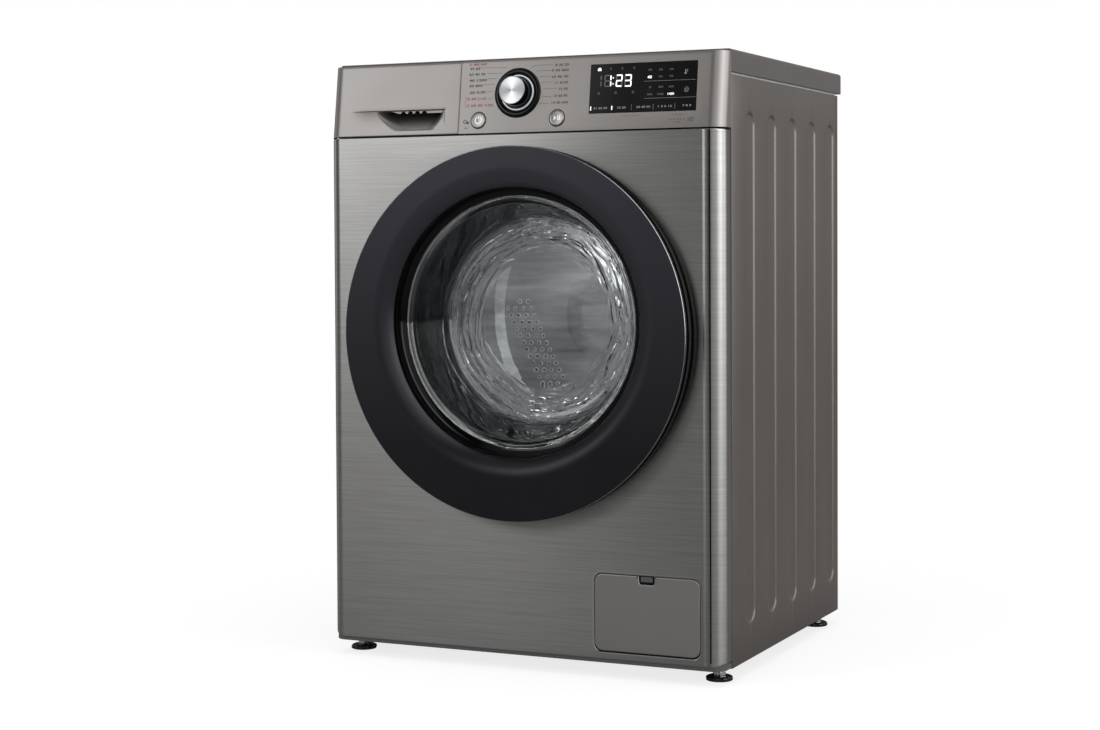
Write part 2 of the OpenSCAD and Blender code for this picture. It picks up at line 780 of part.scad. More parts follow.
hinge_x = -ring_r + 11.7;
hinge_v = -16.5;
hinge_y = front_y + hinge_v;
hinge_pin_r = 2.5;
knuckle_r = 4.2;
leaf_x = [hinge_x + 14.5, hinge_x + 42.5];   // sides of the hinge leaf's plate
leaf_post_z = 43;      // distance of the leaf's two posts from the ring's centre
cap_rim = 5.6;
ring_t = 3;
groove_v = -14;

// Revolved about the glass axis; profile points are [radius, distance behind the steel face]
module about_port(profile) {
  about_y(0, port_z) translate([0, 0, front_y]) rotate_extrude() polygon(profile);
}

// Revolved about the ring's own axis, in the same way
module about_ring(profile) {
  about_y(0, ring_z) translate([0, 0, front_y]) rotate_extrude() polygon(profile);
}

// The curve from the flat face into the ring's inner edge, grown outwards by t
function roll(t) = [for (i = [0 : 10]) let (a = 9 * i)
  [funnel_r + funnel_roll - (funnel_roll - t) * sin(a) , -2 - (door_proud - 2 - t) * cos(a)]];

module door_ring() {
  back = -2;
  color(satin_black) difference() {
    about_ring([[150, -door_proud], [ring_r - 1.6, -door_proud], [ring_r, -door_proud + 1.6],
      [ring_r, -door_proud + cap_rim], [ring_r - ring_t, -door_proud + cap_rim],
      [ring_r - ring_t, back], [150, back]]);
    about_port(concat([[0, -door_proud - cut], [funnel_r + funnel_roll, -door_proud - cut]], roll(0),
      [[funnel_r, cut], [0, cut]]));
    difference() {
      about_ring([[100, -door_proud + ring_t], [ring_r + cut, -door_proud + ring_t],
        [ring_r + cut, cut], [100, cut]]);
      about_ring([[ring_r - ring_t, -door_proud], [ring_r + cut, -door_proud],
        [ring_r + cut, -door_proud + cap_rim], [ring_r - ring_t, -door_proud + cap_rim]]);
      about_port(concat([[0, -door_proud - cut]], [[funnel_r + funnel_roll + 0.1, -door_proud - cut]],
        roll(ring_t), [[funnel_r + ring_t, 2 * cut], [0, 2 * cut]]));
    }
  }
}

module door_frame() {
  rear = -0.5;
  wall_r = ring_r - ring_t - 3;
  zone = 36;
  color(gloss_black) {
    difference() {
      union() {
        about_ring([[wall_r - 2, -door_proud + ring_t + seat_gap], [wall_r, -door_proud + ring_t + seat_gap],
          [wall_r, groove_v], [ring_r, groove_v], [ring_r, -5.5], [250, rear], [150, rear],
          [150, rear - 1.2], [wall_r - 2, rear - 1.2]]);
        about_port([[funnel_r - 6, 10], [funnel_r + 0.4, 10], [funnel_r + 0.4, rear - 1.2],
          [funnel_r + 5, rear - 1.2], [funnel_r + 5, 12.5], [funnel_r - 6, 12.5]]);
      }
      about_port([[0, -door_proud], [funnel_r + 0.4, -door_proud], [funnel_r + 0.4, 9.9], [0, 9.9]]);
      block([-ring_r - 10, front_y - door_proud + ring_t, ring_z - zone],
        [leaf_x[1] + 18, front_y + 2, ring_z + zone]);
      block([hook_x - hook_t / 2 - seat_gap, front_y - 3, port_z - hook_h / 2 - seat_gap],
        [hook_x + hook_t / 2 + seat_gap, front_y + 2, port_z + hook_h / 2 + seat_gap]);
    }
    for (side = [-1, 1]) block([leaf_x[0], front_y - 17.5, ring_z + side * leaf_post_z - 5],
      [leaf_x[1], front_y + rear - 0.6, ring_z + side * leaf_post_z + 5]);
  }
}

module door_trim() {
  color(gloss_black) about_port([[glass_r + 0.5, 4.4], [funnel_r, 4.4], [funnel_r, -1.6],
    [funnel_r - 1, -1.6], [funnel_r - 2.5, 0.5], [glass_r + 2, 2.6], [glass_r + 0.5, 3.4]]);
}

bowl_end_r = 150;

module door_glass() {
  flange_r = funnel_r - 0.6;
  outer_r = glass_r - 2;
  color([0.55, 0.62, 0.62, 0.5]) about_port([[glass_r - glass_t - 3, 4.7], [flange_r, 4.7],
    [flange_r, 9.7], [outer_r, 9.7], [outer_r - 1, 14], [bowl_end_r + 8, bowl_depth - 14],
    [bowl_end_r, bowl_depth - 5], [bowl_end_r - 14, bowl_depth - 1], [0, bowl_depth + 1],
    [0, bowl_depth + 1 - glass_t], [bowl_end_r - 16, bowl_depth - 1 - glass_t],
    [bowl_end_r - 8, bowl_depth - 9 - glass_t / 2], [outer_r - glass_t - 2, 14]]);
}

// A flat link between two hinge parts: round at the pin, its plan drawn in X and depth
module hinge_link(points, z0, z1, r) {
  translate([0, front_y, z0]) linear_extrude(z1 - z0) {
    translate([hinge_x, hinge_v]) circle(r = r);
    polygon(points);
  }
}

module door_hinge_bracket() {
  plate_x = [leaf_x[0] + 10, leaf_x[1] + 14];
  arm = [[hinge_x, hinge_v - 3.6], [plate_x[0] + 8, -5], [plate_x[0] + 17, -2.2],
    [plate_x[0] + 17, 0], [plate_x[0] + 3, 0], [hinge_x + 2, hinge_v + 3.6]];
  color(galvanised) {
    block([plate_x[0], front_y - 2.4, ring_z - 32], [plate_x[1], front_y, ring_z + 32]);
    hinge_link(arm, ring_z + 20, ring_z + 30, knuckle_r);
    hinge_link(arm, ring_z - 30, ring_z - 20, knuckle_r);
    translate([hinge_x, hinge_y, ring_z - 30]) cylinder(r = hinge_pin_r, h = 60);
  }
}

module door_hinge_leaf() {
  color(galvanised) difference() {
    union() {
      hinge_link([[hinge_x + 1, hinge_v - 3.8], [leaf_x[0] + 4, -21], [leaf_x[1] + 4, -21],
        [leaf_x[1] + 4, -17.8], [leaf_x[0] + 6, -17.8], [hinge_x + 1, hinge_v + 1]],
        ring_z - 19.6, ring_z + 19.6, knuckle_r);
      block([leaf_x[0], front_y - 20.6, ring_z - leaf_post_z - 5],
        [leaf_x[1], front_y - 17.8, ring_z + leaf_post_z + 5]);
    }
    translate([hinge_x, hinge_y, ring_z - 25]) cylinder(r = hinge_pin_r + run_gap, h = 50);
  }
}

hook_t = 6;
hook_h = 16;

module door_hook() {
  color(galvanised) difference() {
    union() {
      block([hook_x - 10, front_y - 4.6, port_z - 18], [hook_x + 10, front_y - 2, port_z + 18]);
      block([hook_x - hook_t / 2, front_y - 3, port_z - hook_h / 2],
        [hook_x + hook_t / 2, front_y + 18, port_z + hook_h / 2]);
    }
    block([hook_x - hook_t, front_y + 7, port_z - 4], [hook_x + 1, front_y + 14, port_z + 4]);
  }
}

module door_lock() {
  v0 = front_y + sheet + 0.1;
  color(grey_plastic) difference() {
    union() {
      block([hook_x - 14, v0, port_z - 48], [hook_x + 16, v0 + 20.5, port_z + 40]);
      block([hook_x - 10, v0, port_z + 39], [hook_x + 12, v0 + 14, port_z + 56]);
    }
    block([hook_x - 8, v0 - cut, port_z - 12], [hook_x + 8.5, v0 + 19, port_z + 12]);
  }
}

gasket_lip_r = 176.5;

module door_gasket() {
  color(rubber) about_port([[aperture_r - sheet - 4, 0.4], [aperture_r - sheet - 0.3, 0.4],
    [aperture_r - sheet - 0.3, 12.4], [aperture_r + 0.3, 12.4], [aperture_r + 0.3, 2],
    [aperture_r + 3.6, 2], [aperture_r + 3.6, 15], [aperture_r - 2, 16], [aperture_r - 4, 20],
    [aperture_r + 4, 30], [aperture_r + 4, 35], [aperture_r - 9, 42], [aperture_r - 9, 45],
    [neck_r - tub_neck_t - 0.3, 52], [neck_r - tub_neck_t - 0.3, 70], [neck_r - tub_neck_t - 3.6, 70],
    [neck_r - tub_neck_t - 3.6, 55], [aperture_r - 12.5, 47], [aperture_r - 12.5, 40],
    [aperture_r + 0.5, 33], [aperture_r + 0.5, 31], [aperture_r - 9, 21], [gasket_lip_r, 19],
    [gasket_lip_r, 16], [aperture_r - 8, 14]]);
}

// ---------- Wash group ----------

tub_front_v = 66;
drum_front_y = front_y + tub_front_v + 12;
drum_back_y = drum_front_y + drum_l;
tub_in_r = drum_r + drum_gap;
tub_out_r = tub_in_r + tub_t;
tub_front_y = front_y + tub_front_v;
tub_wall_y = drum_back_y + 22;
tub_joint_y = front_y + 216;
neck_r = 211;
tub_neck_t = 4;
hub_r = 46;
hub_y0 = tub_wall_y - 3;
hub_y1 = tub_wall_y + 37;
spring_x = half_w - 9;
spring_ys = [front_y + 182.9, front_y + 328.9];
spring_low_z = port_z + 172;
lug_t = 12;
lug_w = 28;
sump_x = hatch_x + 36;
sump_y = front_y + 142.9;
sump_r = 17;
sump_top_z = port_z - 248;      // where the tub's sump spigot ends
tub_spigot_z = port_z + 240;

// Top corner where a suspension spring hooks on
module tub_lug(y) {
  mirrored() difference() {
    block([tub_in_r - 68, y - lug_w / 2, spring_low_z - lug_t],
      [spring_x + 4, y + lug_w / 2, spring_low_z]);
    about_y(0, port_z) translate([0, 0, y - 20]) cylinder(r = tub_in_r + 1, h = 40);
  }
}

// Lug on the tub's underside: clevis cut back to the tub's inside
module tub_clevis() {
  mirrored() difference() {
    damper_clevis(damper_high, damper_high[2] + 29);
    about_y(0, port_z) translate([0, 0, damper_y - 70]) cylinder(r = tub_in_r + 1, h = 140);
  }
}

module tub_front() {
  color(grey_plastic) difference() {
    union() {
      about_y(0, port_z) translate([0, 0, front_y]) rotate_extrude() polygon([[neck_r - tub_neck_t,
        tub_front_v - 15], [neck_r, tub_front_v - 15], [neck_r, tub_front_v], [tub_out_r - 8,
        tub_front_v], [tub_out_r, tub_front_v + 8], [tub_out_r, tub_joint_y - front_y - 8],
        [tub_out_r + 8, tub_joint_y - front_y - 8], [tub_out_r + 8, tub_joint_y - front_y],
        [tub_in_r, tub_joint_y - front_y], [tub_in_r, tub_front_v + 10],
        [tub_in_r - 5, tub_front_v + 5], [neck_r - tub_neck_t, tub_front_v + 5]]);
      tub_lug(spring_ys[0]);
      translate([dispenser_hose_x, dispenser_hose_y, tub_spigot_z - 26])
        cylinder(r = dispenser_hose_r, h = 26);
      translate([sump_x, sump_y, sump_top_z]) cylinder(r = sump_r, h = 42);
    }
    translate([dispenser_hose_x, dispenser_hose_y, tub_spigot_z - 40])
      cylinder(r = dispenser_hose_r - 2, h = 60);
    translate([sump_x, sump_y, sump_top_z - 4]) cylinder(r = sump_r - 2, h = 60);
    about_y(0, port_z) translate([0, 0, tub_front_y + 5.2]) cylinder(r = tub_in_r - 5.2, h = 6);
    about_y(0, port_z) translate([0, 0, tub_front_y + 11]) cylinder(r = tub_in_r,
      h = tub_joint_y - tub_front_y - 11 + cut);
  }
}

module tub_rear() {
  spoke_count = 12;
  color(grey_plastic) difference() {
    union() {
      about_y(0, port_z) rotate_extrude() polygon([[tub_in_r, tub_joint_y + seat_gap],
        [tub_out_r + 8, tub_joint_y + seat_gap], [tub_out_r + 8, tub_joint_y + 8],
        [tub_out_r, tub_joint_y + 8], [tub_out_r, tub_wall_y - 3], [tub_out_r - 8, tub_wall_y + 5],
        [30, tub_wall_y + 5], [30, tub_wall_y], [tub_in_r - 5, tub_wall_y],
        [tub_in_r, tub_wall_y - 5]]);
      about_y(0, port_z) translate([0, 0, hub_y0]) cylinder(r = hub_r, h = hub_y1 - hub_y0);
      for (i = [0 : spoke_count - 1]) about_y(0, port_z) rotate([0, 0, (i + 0.5) * 360 / spoke_count])
        translate([hub_r - 2, -2, tub_wall_y + 4]) cube([tub_out_r - 14 - hub_r, 4, 10]);
      tub_lug(spring_ys[1]);
      tub_clevis();
    }
    about_y(0, port_z) translate([0, 0, hub_y0 - cut]) cylinder(r = bearing_r[0] - 8,
      h = hub_y1 - hub_y0 + 2 * cut);
    about_y(0, port_z) translate([0, 0, bearing_y[0]]) cylinder(r = bearing_r[0],
      h = bearing_w);
    about_y(0, port_z) translate([0, 0, hub_y0 - cut]) cylinder(r = bearing_r[0],
      h = bearing_y[0] - hub_y0 + 2 * cut);
    about_y(0, port_z) translate([0, 0, bearing_y[1]]) cylinder(r = bearing_r[1], h = 40);
    for (x = [-heater_x, heater_x]) about_y(x, heater_z) translate([0, 0, tub_wall_y - 9])
      cylinder(r = heater_r + seat_gap, h = 20);
  }
}

bearing_w = 15;
bearing_r = [32, 28];
shaft_r = [17.5, 14];
bearing_y = [hub_y0 + 4, hub_y1 - bearing_w];
heater_x = 28;
heater_r = 3.5;
heater_z = port_z - tub_in_r + 8.5;
heater_l = 220;

module bearings() {
  color(stainless) for (i = [0, 1]) about_y(0, port_z) translate([0, 0, bearing_y[i]]) {
    groove_r = (bearing_r[i] + shaft_r[i]) / 2;
    difference() {
      tube(bearing_r[i] - run_gap, shaft_r[i] + run_gap, bearing_w - 0.2);
      for (end = [-1, bearing_w - 1.7]) translate([0, 0, end]) tube(groove_r + 3, groove_r - 3, 2.5);
    }
  }
}

module heater() {
  bend_y = tub_wall_y - heater_l;
  color(stainless) {
    for (x = [-heater_x, heater_x]) about_y(x, heater_z) translate([0, 0, bend_y])
      cylinder(r = heater_r, h = heater_l + 30);
    translate([0, bend_y, heater_z]) rotate([0, 0, 180]) rotate_extrude(angle = 180)
      translate([heater_x, 0]) circle(r = heater_r);
    block([-heater_x - 14, tub_wall_y + 5.1, heater_z - 9], [heater_x + 14, tub_wall_y + 12,
      heater_z + 9]);
  }
}

// A ring sector round the tub opening
module weight(angle_0, angle_1) {
  steps = 14;
  reach = 400;
  back_y = tub_front_y - seat_gap;
  difference() {
    intersection() {
      about_y(0, port_z) translate([0, 0, back_y - 30]) tube(tub_out_r - 10, neck_r + 4, 30);
      upright(back_y - 40, 50) translate([0, port_z]) polygon(concat([[0, 0]],
        [for (i = [0 : steps]) let (a = angle_0 + (angle_1 - angle_0) * i / steps)
          [reach * cos(a), reach * sin(a)]]));
    }
    for (i = [1 : 3]) {
      a = angle_0 + (angle_1 - angle_0) * i / 4;
      about_y(232 * cos(a), port_z + 232 * sin(a)) translate([0, 0, back_y - 31])
        cylinder(r = 9, h = 12);
    }
  }
}

module counterweights() {
  color(concrete) {
    weight(22, 158);
    weight(202, 338);
  }
}

stator_out = 138;
stator_in = 84;
stator_y = tub_wall_y + 14.3;
stator_w = 24;

module stator() {
  tooth_w = 2 * 3.1416 * 118 / stator_teeth * 0.55;
  color([0.75, 0.42, 0.2]) about_y(0, port_z) translate([0, 0, stator_y]) {
    tube(stator_in + 16, stator_in, stator_w);
    for (i = [0 : stator_teeth - 1]) rotate([0, 0, i * 360 / stator_teeth]) {
      translate([stator_in + 14, -tooth_w / 2, 1.5]) cube([stator_out - stator_in - 20, tooth_w,
        stator_w - 3]);
      intersection() {
        translate([stator_out - 7, -tooth_w * 0.75, 0]) cube([12, tooth_w * 1.5, stator_w]);
        tube(stator_out, stator_out - 6, stator_w);
      }
    }
  }
}

magnet_gap = 1.2;
rotor_r = stator_out + magnet_gap + 8;
rotor_back_y = stator_y + stator_w + 6;

module rotor() {
  slots = 12;
  color(galvanised) difference() {
    union() {
      about_y(0, port_z) rotate_extrude() polygon([[stator_out + magnet_gap, stator_y + 2],
        [rotor_r, stator_y + 2], [rotor_r, rotor_back_y + 3], [shaft_r[1] + 10, rotor_back_y + 3],
        [shaft_r[1] + 10, rotor_back_y + 10], [shaft_r[1] + run_gap, rotor_back_y + 10],
        [shaft_r[1] + run_gap, rotor_back_y - 2], [shaft_r[1] + 16, rotor_back_y - 2],
        [shaft_r[1] + 20, rotor_back_y], [stator_out + magnet_gap, rotor_back_y]]);
    }
    for (i = [0 : slots - 1]) about_y(0, port_z) rotate([0, 0, i * 360 / slots])
      translate([60, -7, rotor_back_y - cut]) cube([58, 14, 6]);
  }
}

module drum_shaft() {
  end_y = rotor_back_y + 16;
  color(stainless) about_y(0, port_z) {
    translate([0, 0, drum_back_y + 4.2]) cylinder(r = shaft_r[0], h = bearing_y[0] + bearing_w + 2
      - drum_back_y - 4.2);
    translate([0, 0, bearing_y[0] + bearing_w]) cylinder(r = shaft_r[1],
      h = end_y - bearing_y[0] - bearing_w);
    translate([0, 0, rotor_back_y + 10.2]) cylinder(r = 21, h = 3);
    translate([0, 0, rotor_back_y + 13]) cylinder(r = 15, h = 8, $fn = 6);
  }
}

drum_lip_r = 190;
hole_rows = 8;
hole_columns = 8;
hole_pitch = 28;
hole_step = 9.4;

module drum_shell() {
  sector = 360 / lifter_count;
  color(stainless) difference() {
    about_y(0, port_z) rotate_extrude() polygon([[drum_r - drum_t, drum_front_y + 8],
      [drum_r - 8, drum_front_y + drum_t], [drum_lip_r + 3, drum_front_y + drum_t],
      [drum_lip_r + drum_t, drum_front_y + 2.4], [drum_lip_r + drum_t, drum_front_y + 8],
      [drum_lip_r, drum_front_y + 8], [drum_lip_r, drum_front_y + 1.6], [drum_lip_r + 2, drum_front_y],
      [drum_r - 7.6, drum_front_y], [drum_r, drum_front_y + 7.6], [drum_r, drum_back_y],
      [drum_r - drum_t, drum_back_y]]);
    for (s = [0 : lifter_count - 1], j = [0 : hole_columns - 1], k = [0 : hole_rows - 1])
      about_y(0, port_z) rotate([0, 0, s * sector + 30 + 30 + (j - (hole_columns - 1) / 2) * hole_step])
        translate([drum_r - 6, 0, drum_front_y + 44 + k * hole_pitch + (j % 2) * hole_pitch / 2])
          rotate([0, 90, 0]) cylinder(r = hole_r, h = 12);
  }
}

band_out = 152;        // distance of a perforated band of the drum's back from the axis
band_angle = 207;      // direction of the band that lies low on the left
band_columns = 4;
band_rows = 16;
band_pitch = 12;
band_hole_r = 2.2;

module drum_back() {
  dish_y = drum_back_y - 8;
  color(stainless) difference() {
    about_y(0, port_z) rotate_extrude() polygon([[0, dish_y - 10], [60, dish_y - 10],
      [92, dish_y + 4], [200, dish_y + 4], [214, dish_y - 4], [drum_r - drum_t - 0.2, dish_y - 4],
      [drum_r - drum_t - 0.2, drum_back_y], [drum_r - drum_t - 1.4, drum_back_y],
      [drum_r - drum_t - 1.4, dish_y - 2.8], [214.5, dish_y - 2.8], [200.5, dish_y + 5.2],
      [91.7, dish_y + 5.2], [59.7, dish_y - 8.8], [0, dish_y - 8.8]]);
    for (s = [0 : 2], j = [0 : band_columns - 1], k = [0 : band_rows - 1]) about_y(0, port_z)
      rotate([0, 0, s * 120 - band_angle]) translate([band_out + (j - (band_columns - 1) / 2) * band_pitch,
        (k - (band_rows - 1) / 2 + (j % 2) / 2 - 0.25) * band_pitch, dish_y])
          cylinder(r = band_hole_r, h = 12);
  }
}

lifter_l = drum_l - 44;
lifter_w = 62;

// One lifter: a crowned ridge whose foot follows the drum wall
module lifter() {
  top_w = 22;
  steps = 6;
  foot_r = drum_r - drum_t - 0.3;
  crown = [for (i = [0 : steps]) let (a = 180 * i / steps)
    [foot_r - lifter_h + 8 - 8 * sin(a), -top_w / 2 * cos(a)]];
  intersection() {
    translate([0, 0, drum_front_y + 22]) difference() {
      linear_extrude(lifter_l) polygon(concat(crown, [[foot_r + 4, lifter_w / 2],
        [foot_r + 4, -lifter_w / 2]]));
      for (i = [0 : 4]) translate([foot_r - lifter_h + 14, -lifter_w, 34 + i * 46])
        rotate([-90, 0, 0]) cylinder(r = 5, h = 2 * lifter_w);
    }
    cylinder(r = foot_r, h = body_d);
    translate([0, 0, drum_front_y + 22]) rotate([90, 0, 0]) translate([0, 0, -lifter_w])
      linear_extrude(2 * lifter_w) polygon([[foot_r - lifter_h, 26], [foot_r, 0],
        [foot_r + 2, 0], [foot_r + 2, lifter_l], [foot_r, lifter_l],
        [foot_r - lifter_h, lifter_l - 26]]);
  }
}

module drum_lifters() {
  color(white_plastic) for (s = [0 : lifter_count - 1])
    about_y(0, port_z) rotate([0, 0, s * 360 / lifter_count]) lifter();
}

module drum_spider() {
  arm_y = drum_back_y + 0.3;
  color([0.6, 0.62, 0.64]) difference() {
    about_y(0, port_z) union() {
      translate([0, 0, drum_back_y - 3]) cylinder(r = 40, h = 17);
      for (i = [0 : 2]) rotate([0, 0, i * 120 + 60]) translate([0, 0, arm_y])
        linear_extrude(12) polygon([[20, -26], [drum_r - 12, -11], [drum_r - 1, -11],
          [drum_r - 1, 11], [drum_r - 12, 11], [20, 26]]);
    }
    about_y(0, port_z) translate([0, 0, drum_back_y + 4]) cylinder(r = shaft_r[0] + 0.1, h = 30);
  }
}

// One suspension spring: a coil whose wire runs straight on to the tub lug and the side rail
module spring() {
  turns = 6;
  per_turn = 9;
  sides = 5;
  wire = spring_wire / 2;
  top_z = brace_z - 12;
  low_z = spring_low_z + 12;
  steps = turns * per_turn;
  lift = (top_z - low_z) / steps;
  function coil(i) = let (a = i * 360 / per_turn)
    [for (k = [0 : sides - 1]) let (b = k * 360 / sides)
      [(spring_r + wire * cos(b)) * cos(a), (spring_r + wire * cos(b)) * sin(a),
        low_z + i * lift + wire * sin(b)]];
  function straight(z) = [for (k = [0 : sides - 1]) let (b = k * 360 / sides)
    [spring_r + wire * cos(b), -wire * sin(b), z]];
  rings = concat([straight(spring_low_z + seat_gap), straight(low_z - spring_wire)],
    [for (i = [0 : steps]) coil(i)],
    [straight(top_z + spring_wire), straight(side_top - sheet - seat_gap)]);
  last = len(rings) - 1;
  points = [for (ring = rings) each ring];
  faces = concat([[for (k = [sides - 1 : -1 : 0]) k]], [[for (k = [0 : sides - 1]) last * sides + k]],
    [for (i = [0 : last - 1], k = [0 : sides - 1])
      [i * sides + k, i * sides + (k + 1) % sides, (i + 1) * sides + (k + 1) % sides]],
    [for (i = [0 : last - 1], k = [0 : sides - 1])
      [i * sides + k, (i + 1) * sides + (k + 1) % sides, (i + 1) * sides + k]]);
  polyhedron(points, faces);
}

module suspension_springs() {
  color(galvanised) for (y = spring_ys) mirrored() translate([spring_x - spring_r, y, 0]) spring();
}

damper_run = norm(damper_high - damper_low);
damper_lean = atan((damper_low[0] - damper_high[0]) / (damper_high[2] - damper_low[2]));
damper_tube_top = damper_run * 0.62;
damper_rod_r = 5;

// Children drawn up a damper from its lower pin, on the right side
module along_damper() {
  translate(damper_low) rotate([0, -damper_lean, 0]) children();
}

module damper_eye(z, r) {
  translate([0, 0, z]) rotate([90, 0, 0]) translate([0, 0, -damper_eye_w / 2])
    cylinder(r = r, h = damper_eye_w);
}

module damper_tube() {
  along_damper() difference() {
    union() {
      damper_eye(0, damper_pin_r + 5);
      translate([0, 0, 8]) cylinder(r = damper_pin_r + 2, h = 12);
      translate([0, 0, 17]) cylinder(r = damper_r, h = damper_tube_top - 17);
    }
    damper_eye_bore(0, damper_pin_r + run_gap);
    translate([0, 0, 24]) cylinder(r = damper_r - 3, h = damper_run);
  }
}

module damper_eye_bore(z, r) {
  translate([0, damper_eye_w, z]) rotate([90, 0, 0]) cylinder(r = r, h = 2 * damper_eye_w);
}

module damper_rod() {
  along_damper() difference() {
    union() {
      damper_eye(damper_run, damper_pin_r + 5.4);
      translate([0, 0, 42]) cylinder(r = damper_r - 3 - run_gap, h = 24);
      translate([0, 0, 60]) cylinder(r = damper_rod_r, h = damper_run - 66);
    }
    damper_eye_bore(damper_run, damper_pin_r + 0.5);
  }
}

module damper_tube_right() {
  color(white_plastic) damper_tube();
}

module damper_tube_left() {
  color(white_plastic) mirror([1, 0, 0]) damper_tube();
}

module damper_rod_right() {
  color(grey_plastic) damper_rod();
}

module damper_rod_left() {
  color(grey_plastic) mirror([1, 0, 0]) damper_rod();
}

// ---------- Water side ----------

module water_inlet_valve() {
  body_y = rear_sheet_y - 44;
  color(white_plastic) difference() {
    union() {
      block([valve_x - 20, body_y, valve_z - 18], [valve_x + 20, rear_sheet_y - 0.2, valve_z + 18]);
      about_y(valve_x, valve_z) translate([0, 0, rear_sheet_y - 4])
        cylinder(r = inlet_collar_r, h = outlet_y - rear_sheet_y + 4);
      about_y(valve_x, valve_z) translate([0, 0, outlet_y - cut])
        cylinder(r = inlet_thread_r, h = outlet_l + cut);
      about_y(valve_x, valve_z) translate([0, 0, body_y - 14]) cylinder(r = 7, h = 16);
      translate([valve_x, body_y + 22, valve_z - 40]) cylinder(r = 15, h = 24);
    }
    about_y(valve_x, valve_z) translate([0, 0, rear_sheet_y - 6]) cylinder(r = 10, h = 30);
    about_y(valve_x, valve_z) translate([0, 0, body_y - 15]) cylinder(r = 5, h = 10);
  }
}

module inlet_hose() {
  y0 = tray_rear_y + 16 + 1;
  y1 = rear_sheet_y - 44 - 1;
  color(rubber) about_y(valve_x, valve_z) translate([0, 0, y0]) tube(10, 7.3, y1 - y0);
}

dispenser_hose_z = [tub_spigot_z - 11, tray_z - seat_gap - tray_t - 0.4];

module dispenser_hose() {
  color(rubber) translate([dispenser_hose_x, dispenser_hose_y, dispenser_hose_z[0]])
    bellows(dispenser_hose_r + seat_gap, 2, 2.4, dispenser_hose_z[1] - dispenser_hose_z[0], 5);
}

module sump_hose() {
  low = pump_z + 40;
  top = port_z - sqrt(pow(tub_out_r, 2) - pow(sump_x - sump_r - 6, 2)) - 1.5;
  color(rubber) translate([sump_x, sump_y, low]) bellows(sump_r + seat_gap, 2, 3, top - low, 9);
}

pump_z = 92;
pump_y0 = front_y + 46;
pump_r = 30;
pump_l = 116;
motor_r = 22;
motor_l = 50;

module drain_pump() {
  color(white_plastic) difference() {
    union() {
      about_y(sump_x, pump_z) translate([0, 0, pump_y0]) cylinder(r = pump_r, h = pump_l);
      about_y(sump_x, pump_z) translate([0, 0, pump_y0 + pump_l - 1])
        cylinder(r = motor_r, h = motor_l);
      translate([sump_x, sump_y, pump_z]) cylinder(r = sump_r, h = 2 * pump_r + 2);
      translate([sump_x, pump_y0 + pump_l - 20, pump_z]) rotate([0, 90, 0])
        cylinder(r = 10, h = pump_r + 26);
      for (y = [pump_y0 + 20, pump_y0 + pump_l - 16])
        block([sump_x - motor_r, y - 4, tray_rim - 2], [sump_x + motor_r, y + 4, pump_z - 12]);
    }
    about_y(sump_x, pump_z) translate([0, 0, pump_y0 - cut]) cylinder(r = pump_r - 4,
      h = pump_l - 5);
    translate([sump_x, sump_y, pump_z + 10]) cylinder(r = sump_r - 3, h = 2 * pump_r + 10);
  }
}

module drain_outlet() {
  color(grey_plastic) difference() {
    about_y(drain_x, drain_z) {
      translate([0, 0, rear_sheet_y - 24]) cylinder(r = drain_r, h = outlet_y + outlet_l
        - rear_sheet_y + 24);
      translate([0, 0, rear_sheet_y - 2]) cylinder(r = drain_collar_r, h = outlet_y
        - rear_sheet_y + 2);
      translate([0, 0, rear_sheet_y - 6]) cylinder(r = drain_r + 6, h = 5.8);
    }
    about_y(drain_x, drain_z) translate([0, 0, rear_sheet_y - 25]) cylinder(r = drain_r - 2, h = 60);
  }
}

module cord_gland() {
  color(gloss_black) difference() {
    about_y(gland_x, gland_z) {
      translate([0, 0, rear_sheet_y - 10]) cylinder(r = gland_r, h = 22);
      translate([0, 0, rear_sheet_y + sheet + 0.1]) cylinder(r = gland_r + 4, h = 4);
      translate([0, 0, rear_sheet_y - 4.2]) cylinder(r = gland_r + 3, h = 4);
    }
    about_y(gland_x, gland_z) translate([0, 0, rear_sheet_y - 11]) cylinder(r = cord_r, h = 30);
  }
}

// ---------- Service hatch ----------

recess_v = 44;
recess_t = 2.2;
hatch_pivot_v = 3;
hatch_pivot_z = hatch_z + 9;
hatch_pin_r = 1.6;
hatch_top = hatch_z + hatch_h;
recess_x0 = hatch_x - 5;
recess_x1 = hatch_x + hatch_w + 5;
recess_z0 = tray_rim + 0.3;
recess_z1 = hatch_top + 6;

module service_recess() {
  v0 = front_y + sheet;
  back = front_y + recess_v;
  color(grey_plastic) difference() {
    union() {
      block([recess_x0, v0, recess_z0], [recess_x1, back, recess_z1]);
      about_y(sump_x, pump_z) translate([0, 0, back - cut]) tube(pump_r + 2, pump_r - 4, 2.8);
    }
    block([recess_x0 + recess_t, v0 - cut, recess_z0 + recess_t],
      [recess_x1 - recess_t, back - recess_t, recess_z1 - recess_t]);
    about_y(sump_x, pump_z) translate([0, 0, back - 10]) cylinder(r = pump_r - 4, h = 20);
  }
  bearing_w = hatch_x - recess_x0 - recess_t - 0.4;
  color(grey_plastic) for (x = [recess_x0 + recess_t, recess_x1 - recess_t - bearing_w])
    difference() {
      block([x - 0.2, v0, hatch_pivot_z - 5], [x + bearing_w + 0.2, v0 + 8, hatch_pivot_z + 5]);
      translate([x - cut, front_y + hatch_pivot_v, hatch_pivot_z]) rotate([0, 90, 0])
        cylinder(r = hatch_pin_r + run_gap, h = 6);
    }
}

